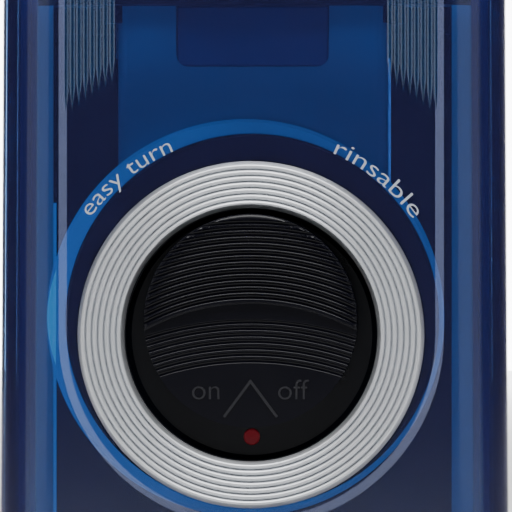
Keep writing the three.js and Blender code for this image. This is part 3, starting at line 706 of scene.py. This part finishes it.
def switch_bowl():
    flange = turned([(0, bowl_back), (flange_radius - 0.2, bowl_back),
                     (flange_radius, bowl_back - 0.2), (flange_radius, flange_front + 0.3),
                     (flange_radius - 0.3, flange_front), (0, flange_front)],
                    (0, 0, dial_z), (0, 1, 0), 144)
    room = handle_block(wall + 0.3, 14, handle_top)
    flange = combined(flange, "INTERSECT", room)
    collar_front = bowl_low.y
    collar = turned([(0, bowl_back), (collar_radius - 0.15, bowl_back),
                     (collar_radius - 0.15, collar_front + 0.2),
                     (collar_radius - 0.35, collar_front), (0, collar_front)],
                    (0, 0, ring_z), (0, 1, 0), 144)
    dish = turned([(0, bowl_inside), (ring_inner - 0.7, bowl_inside),
                   (ring_inner - 0.1, bowl_inside - 0.6), (ring_inner - 0.1, collar_front - 2),
                   (0, collar_front - 2)], (0, 0, ring_z), (0, 1, 0), 144)
    bore = turned([(0, bowl_back + 1), (spindle_bore, bowl_back + 1),
                   (spindle_bore, collar_front), (0, collar_front)], (0, 0, dial_z), (0, 1, 0), 48)
    return combined(combined(flange, "UNION", collar), "DIFFERENCE", dish, bore)


piece("switch_dish", switch_bowl(), "handle", gloss_black, "dial_black", "switch_bowl")

dot_low, dot_high = node_box("index_dot")
dot_radius = (dot_high.x - dot_low.x) / 2
dot_z = (dot_low.z + dot_high.z) / 2
dot_section = [(0, dot_high.y), (dot_radius, dot_high.y), (dot_radius, dot_low.y + 0.12),
               (dot_radius - 0.12, dot_low.y + 0.03), (0, dot_low.y)]
piece("filled_dot", turned(dot_section, (0, 0, dot_z), (0, 1, 0), 40), "handle", red_dot,
      "red_dot", "index_dot")

# %% [markdown]
# ## The dial
# The thumb turns the dial by its ribbed face. The upper part stands proud and ends at a curved step,
# and finer ribs follow on the lower part. The blank is turned, then the step and each groove between
# two ribs is a ring that is cut out, all of them round centres far below the dial, so that they cross
# it as shallow arcs.

# %% Dial
dial_front, dial_back = dial_low.y, dial_high.y
step_depth = 0.9
step_radius = 27
step_centre = dial_z + 2.3 - step_radius
upper_ribs, upper_pitch, upper_width, upper_depth = 13, 0.75, 0.7, 0.42
first_upper = step_radius + 0.62
lower_ribs, lower_pitch, lower_width, lower_depth = 7, 0.78, 0.72, 0.3
first_lower = 41
lower_centre = dial_z - 0.1 - first_lower


def dial_blank():
    return turned([(0, dial_back), (dial_radius - 0.4, dial_back), (dial_radius, dial_back - 0.4),
                   (dial_radius, dial_front + 0.6), (dial_radius - 0.08, dial_front + 0.36),
                   (dial_radius - 0.25, dial_front + 0.22), (dial_radius - 0.6, dial_front + 0.14),
                   (dial_radius * 0.6, dial_front + 0.04), (0, dial_front)],
                  (0, 0, dial_z), (0, 1, 0), 144)


def groove(radius, centre, surface, width, depth):
    """A ring that cuts one groove and rounds the two ribs beside it."""
    over = surface - 0.8
    half = [(0.5, over), (0.5, surface), (0.4, surface + 0.1 * depth), (0.3, surface + 0.36 * depth),
            (0.2, surface + 0.9 * depth), (0.0, surface + depth)]
    section = ([(radius - share * width, deep) for share, deep in half]
               + [(radius + share * width, deep) for share, deep in reversed(half[:-1])])
    return turned(section + section[:1], (0, 0, centre), (0, 1, 0), 200)


def ribbed_dial():
    low_face = dial_front + step_depth
    step = turned([(0, dial_front - 2), (step_radius, dial_front - 2),
                   (step_radius, low_face - 0.25), (step_radius - 0.25, low_face), (0, low_face)],
                  (0, 0, step_centre), (0, 1, 0), 220)
    upper = [groove(first_upper + upper_pitch * index, step_centre, dial_front + 0.1,
                    upper_width, upper_depth) for index in range(upper_ribs)]
    lower = [groove(first_lower - lower_pitch * index, lower_centre, low_face - 0.02,
                    lower_width, lower_depth) for index in range(lower_ribs)]
    blank = combined(dial_blank(), "DIFFERENCE", step)
    return combined(blank, "DIFFERENCE", joined(*upper), joined(*lower))


piece("ribbed_dial", ribbed_dial(), "dial", dial_black, "dial_black", "dial", sharp=40)

# %% [markdown]
# The two plain words on the dial and the pointer between them stand a little proud of its lower face.
# Blender's own letters are made a mesh first, scaled so that their short letters have the height
# wanted, and turned to face forward.

# %% Letters
def letters(word, short_height, thickness):
    """A word as a closed mesh, from its left end, standing on a base line at height 0."""
    curve = bpy.data.curves.new(word, "FONT")
    curve.body = word
    curve.size = 10
    curve.extrude = 0.5
    curve.resolution_u = 6
    curve.offset = -0.1
    obj = bpy.data.objects.new(word, curve)
    bpy.context.scene.collection.objects.link(obj)
    solved = obj.evaluated_get(bpy.context.evaluated_depsgraph_get())
    bm = bmesh.new()
    bm.from_mesh(solved.to_mesh())
    solved.to_mesh_clear()
    bpy.data.objects.remove(obj)
    bpy.data.curves.remove(curve)
    bmesh.ops.remove_doubles(bm, verts=bm.verts, dist=1e-4)
    size = short_height / letters.short_share
    bmesh.ops.scale(bm, vec=(size, size, thickness), verts=bm.verts)
    return bm


letters.short_share = 1.0
probe = letters("x", 1.0, 1.0)
letters.short_share = max(v.co.y for v in probe.verts)
probe.free()
print(f"a short letter is {letters.short_share:.2f} high at size 10")


def raised_word(word, middle, base, surface, short_height, thickness):
    bm = letters(word, short_height, thickness)
    left, right = min(v.co.x for v in bm.verts), max(v.co.x for v in bm.verts)
    bmesh.ops.transform(bm, matrix=FACING_Y, verts=bm.verts)
    bmesh.ops.translate(bm, vec=(middle - (left + right) / 2, surface, base), verts=bm.verts)
    return bm


def pointer(surface, thickness):
    apex, drop, spread, width = dial_z - 7.3, 4.3, 3.2, 0.32
    bars = []
    for side in (-1, 1):
        bar = block((-width / 2, surface - thickness, -math.hypot(drop, spread)),
                    (width / 2, surface + 0.05, width / 2))
        lean = Matrix.Rotation(side * math.atan2(spread, drop), 4, "Y")
        bmesh.ops.transform(bar, matrix=Matrix.Translation((0, 0, apex)) @ lean, verts=bar.verts)
        bars.append(bar)
    return combined(bars[0], "UNION", bars[1])


low_face = dial_front + step_depth
word_base = dial_z - 9.5
dial_marks = joined(raised_word("on", -5.4, word_base, low_face, 1.55, 0.25),
                    raised_word("off", 5.2, word_base, low_face, 1.55, 0.25),
                    pointer(low_face + 0.02, 0.2))
mark_black = moulded("mark_black", (0.0055, 0.0055, 0.0085), 0.3, grain=0.001)
piece("dial_marks", dial_marks, "dial", mark_black, "dial_black")

# %% [markdown]
# Two short words are printed on the panel along the ring. A flat word is bent round by turning each
# of its points about the ring's centre by its distance along the line.

# %% Printed words
word_radius = 24.0


def curved_word(word, start, end):
    bm = letters(word, 1.25, 0.03)
    left, right = min(v.co.x for v in bm.verts), max(v.co.x for v in bm.verts)
    turn = math.radians(start - end)
    stretch = turn * word_radius / (right - left)
    print(f"{word}: spaced by {stretch:.2f}")
    for v in bm.verts:
        angle = math.radians(start) - (v.co.x - left) * stretch / word_radius
        reach = word_radius + v.co.y
        v.co = (reach * math.cos(angle), panel_front - v.co.z - 0.015,
                ring_z + reach * math.sin(angle))
    return bm


piece("printed_words", joined(curved_word("easy turn", 143.6, 113.0),
                              curved_word("rinsable", 65.5, 35.7)),
      "handle", ink, "grey_plastic")

# %% [markdown]
# ## The battery cap
# The cap closes the foot of the handle. It has the handle's outline, a soft edge all round its
# bottom, a thin spigot that goes up inside the handle, and it is hollow for the cells' ends.

# %% Battery cap
cap_height = 14
spigot_inset = 2.15
cap_floor = 2
cap_grips, first_grip, cap_grip_pitch = 5, 4.0, 1.7


def battery_cap():
    outer = handle_block(0, 0, cap_height)
    rounded(outer, level(outer, 0), 1.2, 5)
    rounded(outer, level(outer, cap_height), 0.25, 2)
    spigot = handle_block(spigot_inset, cap_height - 3, cap_high.z)
    cavity = handle_block(spigot_inset + 1, cap_floor, cap_high.z + 1)
    groove_low, groove_high = cap_height + 0.9, cap_height + 2.5
    groove_tool = combined(handle_block(spigot_inset - 1, groove_low, groove_high), "DIFFERENCE",
                           handle_block(spigot_inset + 0.5, groove_low - 1, groove_high + 1))
    grips = []
    for side in (-1, 1):
        for index in range(cap_grips):
            height = first_grip + cap_grip_pitch * index
            inner, outside = half_width + 0.55, half_width + 3
            low_x, high_x = sorted((side * inner, side * outside))
            grips.append(block((low_x, -5, height - 0.4), (high_x, 5.8, height + 0.4)))
    return combined(combined(outer, "UNION", spigot), "DIFFERENCE", cavity, groove_tool,
                    joined(*grips))


piece("battery_cap_smooth", battery_cap(), "base_cap", black_plastic, "black_plastic",
      "battery_cap")

# %% [markdown]
# ## The head
# The head's base is screwed to the handle, and the cassette clips onto it. Both are blocks with
# rounded corners and soft edges. The cassette also narrows upward.

# %% Head base
base_low, base_high = node_box("head_base")
head_middle = (base_low.y + base_high.y) / 2
head_corner = 8


def head_block(half_across, half_depth, low, high, radius, segments=14):
    bm = block((-half_across, head_middle - half_depth, low),
               (half_across, head_middle + half_depth, high))
    rounded(bm, upright(bm), radius, segments)
    return bm


def head_base():
    across, depth = base_high.x, (base_high.y - base_low.y) / 2
    outer = head_block(across, depth, base_low.z, base_high.z, head_corner)
    rounded(outer, level(outer, base_high.z), 0.35, 3)
    rounded(outer, level(outer, base_low.z), 0.5, 3)
    well = head_block(across - 2, depth - 2, base_low.z + 2, base_high.z + 1, head_corner - 2)
    windows = block((-50, head_middle - 4.2, base_low.z + 2.5),
                    (50, head_middle + 4.2, base_low.z + 7.5))
    hole = turned([(0, base_low.z - 1), (6.3, base_low.z - 1), (6.3, base_low.z + 3),
                   (0, base_low.z + 3)], (0, head_middle, 0), (0, 0, 1), 64)
    return combined(outer, "DIFFERENCE", well, windows, hole)


piece("head_base_smooth", head_base(), "handle", black_plastic, "black_plastic", "head_base")

# %% [markdown]
# The cassette lifts off for cleaning. Its block is drawn in at the top, a well through it takes the
# foil's frame, and two tabs below reach into the head's base, where the catches hold them.

# %% Foil cassette
cassette_low, cassette_high = node_box("foil_cassette")
frame_low, frame_high = node_box("foil_frame")
cassette_foot = base_high.z + 0.3


def foil_cassette():
    across, depth = cassette_high.x, (cassette_high.y - cassette_low.y) / 2
    narrowing = 2.8
    outer = head_block(across, depth, cassette_foot, cassette_high.z, head_corner)
    top = [v for v in outer.verts if v.co.z > cassette_high.z - 0.01]
    to_middle = Matrix.Translation((0, -head_middle, 0))
    bmesh.ops.scale(outer, vec=(1 - narrowing / across, 1 - 0.8 * narrowing / depth, 1), verts=top,
                    space=to_middle)
    rounded(outer, level(outer, cassette_high.z), 0.6, 4)
    rounded(outer, level(outer, cassette_foot), 0.3, 2)
    frame_across, frame_depth = frame_high.x, (frame_high.y - frame_low.y) / 2
    well = head_block(frame_across + 0.3, frame_depth + 0.3, cassette_foot - 1,
                      cassette_high.z + 1, 1.5, 6)
    tab_in, tab_out = frame_depth + 0.3, (base_high.y - base_low.y) / 2 - 2.3
    tabs = []
    for side in (-1, 1):
        near, far = sorted((head_middle + side * tab_in, head_middle + side * tab_out))
        tabs.append(block((-18.5, near, cassette_low.z), (18.5, far, cassette_foot + 1)))
    return combined(combined(outer, "UNION", joined(*tabs)), "DIFFERENCE", well)


piece("foil_cassette_smooth", foil_cassette(), "cassette", head_blue, "head_blue", "foil_cassette")

# %% [markdown]
# The foil's frame floats up and down in the cassette. Its two cheeks are arches that hold the ends
# of the foil.

# %% Foil frame
foil_low, foil_high = node_box("foil")
foil_radius = (foil_high.y - foil_low.y) / 2
foil_axis = foil_high.z - foil_radius


def arch_cheek(side, radius):
    near, far = sorted((side * (frame_high.x - 1.3), side * (frame_high.x - 0.03)))
    bm = turned([(0, near), (radius - 0.2, near), (radius, near + 0.2), (radius, far - 0.2),
                 (radius - 0.2, far), (0, far)], (0, 0, 0), (0, 0, 1), 96)
    stand = Matrix.Translation((0, head_middle, foil_axis)) @ Matrix.Rotation(math.pi / 2, 4, "Y")
    bmesh.ops.transform(bm, matrix=stand, verts=bm.verts)
    return bm


def foil_frame():
    depth = (frame_high.y - frame_low.y) / 2
    outer = head_block(frame_high.x, depth, frame_low.z, foil_axis, 1.2, 5)
    rounded(outer, level(outer, foil_axis), 0.3, 3)
    below = block((-50, -50, foil_axis - 30), (50, 50, foil_axis - 1))
    cheeks = combined(joined(arch_cheek(-1, foil_radius + 0.7), arch_cheek(1, foil_radius + 0.7)),
                      "DIFFERENCE", below)
    room = foil_high.x + 0.12
    well = block((-room, head_middle - foil_radius - 0.1, frame_low.z - 1),
                 (room, head_middle + foil_radius + 0.1, foil_axis + 20))
    return combined(combined(outer, "UNION", cheeks), "DIFFERENCE", well)


piece("foil_frame_smooth", foil_frame(), "foil_unit", grey_plastic, "grey_plastic", "foil_frame")

# %% [markdown]
# The foil is a thin sheet full of small holes, bent over the cutter. A flat grid is made first.
# Bevelling every second of its points opens a small six or eight-sided face at each, those faces are
# taken out, and the sheet is wrapped round the foil's axis and given its thickness.

# %% Perforated foil
foil_bottom = foil_low.z
sheet_thickness = 0.2
straight = foil_axis - foil_bottom
mid_radius = foil_radius - sheet_thickness / 2


def perforated_foil():
    bm = bmesh.new()
    length = foil_high.x - foil_low.x
    wrap = math.pi * mid_radius + 2 * straight
    cells_x, cells_y = 74, 52
    bmesh.ops.create_grid(bm, x_segments=cells_x, y_segments=cells_y, size=0.5)
    bmesh.ops.scale(bm, vec=(length, wrap, 1), verts=bm.verts)
    step_x, step_y = length / cells_x, wrap / cells_y
    holes = []
    for v in bm.verts:
        column = round((v.co.x + length / 2) / step_x)
        row = round((v.co.y + wrap / 2) / step_y)
        inside = 2 <= column <= cells_x - 2 and abs(v.co.y) < math.pi * mid_radius * 0.46
        if inside and (column + row) % 2 == 0:
            holes.append(v)
    made = bmesh.ops.bevel(bm, geom=holes, offset=0.27, offset_type="OFFSET", segments=2,
                           profile=0.5, affect="VERTICES", material=-1, clamp_overlap=True)
    bmesh.ops.delete(bm, geom=made["faces"], context="FACES")
    for v in bm.verts:
        along, v.co.z = v.co.y, 0
        quarter = math.pi * mid_radius / 2
        angle = max(-quarter, min(quarter, along)) / mid_radius
        drop = max(0.0, abs(along) - quarter)
        v.co = (v.co.x, head_middle + mid_radius * math.sin(angle),
                foil_axis + mid_radius * math.cos(angle) - drop)
    bmesh.ops.recalc_face_normals(bm, faces=bm.faces)
    bmesh.ops.solidify(bm, geom=bm.faces[:], thickness=sheet_thickness)
    print(f"{len(holes)} holes in the foil")
    return bm


piece("perforated_foil", perforated_foil(), "foil_unit", foil_metal, "foil_metal", "foil")

# %% [markdown]
# Each release button is pressed into the head's side by a finger, so its face has three raised ribs.

# %% Release buttons
def release_button(side):
    low, high = node_box("release_button_" + ("right" if side > 0 else "left"))
    inner = min(abs(low.x), abs(high.x))
    outer = max(abs(low.x), abs(high.x))
    middle = (low.z + high.z) / 2
    face = block((inner + 0.5, head_middle - 4, low.z + 0.5), (outer, head_middle + 4, high.z - 0.5))
    rim = [e for e in face.edges if all(v.co.x > outer - 0.01 for v in e.verts)]
    rounded(face, rim, 0.5, 4)
    stop = block((inner, low.y, low.z), (inner + 0.5 + 0.2, high.y, high.z))
    cuts = [block((outer - 0.3, head_middle - 3, middle + shift - 0.25),
                  (outer + 1, head_middle + 3, middle + shift + 0.25)) for shift in (-1.1, 0, 1.1)]
    bm = combined(combined(face, "UNION", stop), "DIFFERENCE", joined(*cuts))
    if side < 0:
        bmesh.ops.scale(bm, vec=(-1, 1, 1), verts=bm.verts)
    return bm


for side, name in ((-1, "left"), (1, "right")):
    piece(f"ribbed_button_{name}", release_button(side), f"button_{name}", grey_plastic,
          "grey_plastic", f"release_button_{name}")

# %% [markdown]
# ## Behind the clear wall
# The motor hangs in a pale carrier that shows through the clear front as a bright block. Its front is
# open above, so the motor is seen there, and its sides run up to the deck as two columns.

# %% Motor carrier
carrier_low, carrier_high = node_box("motor_carrier")
deck_bottom = handle_top - 3
can_low, can_high = node_box("motor_can")
motor_y = (can_low.y + can_high.y) / 2
window_half = 9.3
window_sill = 84.5


def motor_carrier():
    across, top = 16.4, deck_bottom - 0.1
    bm = block((-across, carrier_low.y, carrier_low.z), (across, carrier_high.y, top))
    rounded(bm, upright(bm), 1.2, 5)
    motor_room = turned([(0, carrier_low.z - 1), (9.2, carrier_low.z - 1), (9.2, top + 1),
                         (0, top + 1)], (0, motor_y, 0), (0, 0, 1), 72)
    pocket = block((-13.6, motor_y - 6, 88.8), (13.6, motor_y + 6, top + 2))
    window = block((-window_half, carrier_low.y - 1, window_sill),
                   (window_half, motor_y, top + 3))
    rounded(window, [e for e in window.edges
                     if all(v.co.z < window_sill + 0.01 for v in e.verts)
                     and abs(e.verts[0].co.x - e.verts[1].co.x) < 0.01], 1.5, 4)
    return combined(bm, "DIFFERENCE", motor_room, pocket, window)


piece("motor_carrier_open", motor_carrier(), "handle", pale_plastic, "pale_plastic",
      "motor_carrier")

# %% [markdown]
# A soft violet pad between the carrier and the motor can damps the motor's hum. It fills the window.

# %% Damping pad
def damping_pad():
    bm = block((-window_half + 0.1, carrier_low.y + 0.7, window_sill + 0.1),
               (window_half - 0.1, can_low.y - 0.05, deck_bottom - 0.2))
    rounded(bm, bm.edges[:], 0.25, 3)
    return bm


piece("damping_pad", damping_pad(), "handle", pad_violet, "rubber_black")

# %% [markdown]
# A thin liner stands in each front corner of the handle, and its faint glow is painted light: the
# light the clear wall carries into its corners. It is a strip of the handle's own inner outline, so
# one tube minus a slightly smaller one, cut off at the sides, gives both. A short plate at its top
# closes the gap between the chassis and the deck.

# %% Corner liners
chassis_low = node_box("inner_chassis")[0]
liner_inner_edge = 24.2
liner_foot = chassis_low.z
liner_top = deck_bottom - 0.1


def corner_liners():
    outer = handle_block(wall + 0.3, liner_foot, liner_top)
    inner = handle_block(wall + 1.2, liner_foot - 1, liner_top + 1)
    middle = block((-liner_inner_edge, -60, 0), (liner_inner_edge, 60, 200))
    behind = block((-60, 3.0, 0), (60, 60, 200))
    return combined(outer, "DIFFERENCE", inner, middle, behind)


def top_plates():
    plates = []
    for side in (-1, 1):
        near, far = sorted((side * 16.6, side * (half_width - wall - 1.4)))
        plates.append(block((near, chassis_low.y - 1.5, 88.6), (far, chassis_low.y - 0.1, liner_top)))
    return joined(*plates)


# Beside each liner's inner edge a narrow strip glows brighter: painted light for the bright line that
# the clear wall shows there.
def edge_strips():
    strips = []
    for side in (-1, 1):
        near, far = sorted((side * (liner_inner_edge + 0.05), side * (liner_inner_edge + 0.95)))
        strips.append(block((near, chassis_low.y - 0.9, liner_foot),
                            (far, chassis_low.y - 0.1, ring_z + 16)))
    strips = joined(*strips)
    rounded(strips, upright(strips), 0.25, 3)
    return strips


piece("corner_liners", corner_liners(), "handle", liner_plastic_glow, "pale_plastic")
piece("liner_plates", top_plates(), "handle", black_plastic, "black_plastic")
piece("edge_strips", edge_strips(), "handle", strip_white_glow, "pale_plastic")

# %% [markdown]
# A pale ring round the bowl's flange behind the clear wall glows with painted light: the light that
# the clear wall's edge round the switch gives off. It is wider on one side than on the other, so it
# shows as a bright crescent. Its outer edge is a circle set off from the flange's own.

# %% Glowing ring
glow_ring_radius = flange_radius + 1.5
glow_ring_shift = (-0.8, 0.3)


def flange_glow_ring():
    front, back = flange_front - 0.05, flange_front + 0.9
    outer = turned([(0, back), (glow_ring_radius, back), (glow_ring_radius, front + 0.4),
                    (glow_ring_radius - 0.4, front), (0, front)],
                   (glow_ring_shift[0], 0, dial_z + glow_ring_shift[1]), (0, 1, 0), 144)
    inner = turned([(0, back + 1), (flange_radius + 0.1, back + 1),
                    (flange_radius + 0.1, front - 1), (0, front - 1)],
                   (0, 0, dial_z), (0, 1, 0), 144)
    return combined(outer, "DIFFERENCE", inner)


piece("flange_glow_ring", flange_glow_ring(), "handle", glow_ring_light, "white_plastic")

# %% [markdown]
# The spring under the cutter gives way when the foil is pressed. Its coil is right as it is packed,
# but a coil that only rides along would go through what it stands on. So a copy of it stands on the
# drive.


def spring_coil():
    bm = bmesh.new()
    bm.from_mesh(frame["nodes"]["cutter_spring"].data)
    bmesh.ops.scale(bm, vec=(1 / MM, 1 / MM, 1 / MM), verts=bm.verts)
    return bm


coil = piece("cutter_coil", spring_coil(), "drive", steel, "steel", "cutter_spring")
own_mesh(coil)

# %% [markdown]
# ## The working parts
# The shapes of the pieces inside are right as they are packed, so they only need their finishes. The
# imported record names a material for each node, and each of those names has a finish here.

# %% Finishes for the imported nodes
finishes = {
    "clear_blue": clear_blue, "head_blue": head_blue, "black_plastic": black_plastic,
    "dial_black": dial_black, "grey_plastic": grey_plastic, "pale_plastic": pale_plastic,
    "white_plastic": white_plastic, "red_dot": red_dot, "ring_metal": ring_metal,
    "foil_metal": foil_metal, "steel": steel, "contact_metal": contact_metal, "copper": copper,
    "cell_wrap": cell_wrap, "board_green": board_green, "rubber_black": rubber_black,
}
for part in frame["record"]["subparts"]:
    obj = frame["nodes"][part["node"]]
    obj.data.materials.clear()
    obj.data.materials.append(finishes[part["material_slot"]])

# %% [markdown]
# ## Floor and lights
# The shaver stands on a pale floor that sweeps up behind it.

# %% Stage
floor_reach = 3000
floor_bend = 900


def sweep():
    bm = bmesh.new()
    bmesh.ops.create_grid(bm, x_segments=1, y_segments=1, size=floor_reach)
    rear = [e for e in bm.edges if all(v.co.y > floor_reach - 100 for v in e.verts)]
    made = bmesh.ops.extrude_edge_only(bm, edges=rear)["geom"]
    lifted = [g for g in made if isinstance(g, bmesh.types.BMVert)]
    bmesh.ops.translate(bm, vec=(0, 0, floor_reach), verts=lifted)
    crease = [e for e in bm.edges if all(v.co.y > floor_reach - 100 and v.co.z < 1 for v in e.verts)]
    rounded(bm, crease, floor_bend, 24)
    bmesh.ops.scale(bm, vec=(MM, MM, MM), verts=bm.verts)
    mesh = bpy.data.meshes.new("floor")
    bm.to_mesh(mesh)
    bm.free()
    mesh.shade_smooth()
    return mesh


floor_finish = Finish("pale_floor", {"Roughness": 0.6, "Specular IOR Level": 0.2})
floor_grain = floor_finish.noise(floor_finish.place(), 0.004, 3.0)
floor_finish.vary(base_color=floor_finish.blend(floor_grain, rgb(0.84, 0.84, 0.84),
                                                rgb(0.9, 0.9, 0.9)))
floor = bpy.data.objects.new("floor", sweep())
floor.data.materials.append(floor_finish.material)
bpy.context.scene.collection.objects.link(floor)

world = bpy.data.worlds.new("studio")
world.use_nodes = True
world.node_tree.nodes["Background"].inputs["Color"].default_value = rgb(0.9, 0.94, 1.0)
world.node_tree.nodes["Background"].inputs["Strength"].default_value = 0.1
bpy.context.scene.world = world

# %% [markdown]
# A softbox is described by how bright its face is, which is what a polished surface mirrors. Its
# power follows from that and its size.

# %% Softboxes
def softbox(name, turn, rise, distance, width, height, brightness, target=(0, 0, 60)):
    """A box that stands at an angle round from the front and an angle above the level."""
    around, up = math.radians(turn), math.radians(rise)
    toward = Vector((math.sin(around) * math.cos(up), -math.cos(around) * math.cos(up),
                     math.sin(up)))
    light = bpy.data.lights.new(name, "AREA")
    light.shape, light.size, light.size_y = "RECTANGLE", width * MM, height * MM
    light.energy = brightness * math.pi * light.size * light.size_y
    obj = bpy.data.objects.new(name, light)
    obj.location = (Vector(target) + toward * distance) * MM
    obj.rotation_euler = toward.to_track_quat("Z", "Y").to_euler()
    bpy.context.scene.collection.objects.link(obj)


softbox("overhead", 0, 60, 800, 700, 420, 11.5)
softbox("left_box", -60, 4, 900, 620, 1000, 0.9)
softbox("right_box", 60, 4, 900, 620, 1000, 0.9)

# %% [markdown]
# A glowing white panel far behind the shaver is its background, and gives its sides a pale rim.

# %% Backdrop
panel_bm = block((-700, 2200, 1), (700, 2204, 900))
backdrop_finish = Finish("backdrop_white", {"Base Color": rgb(1, 1, 1), "Emission Strength": 9.0,
                                            "Emission Color": rgb(1, 1, 1)})
bmesh.ops.scale(panel_bm, vec=(MM, MM, MM), verts=panel_bm.verts)
panel_mesh = bpy.data.meshes.new("backdrop")
panel_bm.to_mesh(panel_mesh)
panel_bm.free()
panel_mesh.materials.append(backdrop_finish.material)
backdrop = bpy.data.objects.new("backdrop", panel_mesh)
bpy.context.scene.collection.objects.link(backdrop)
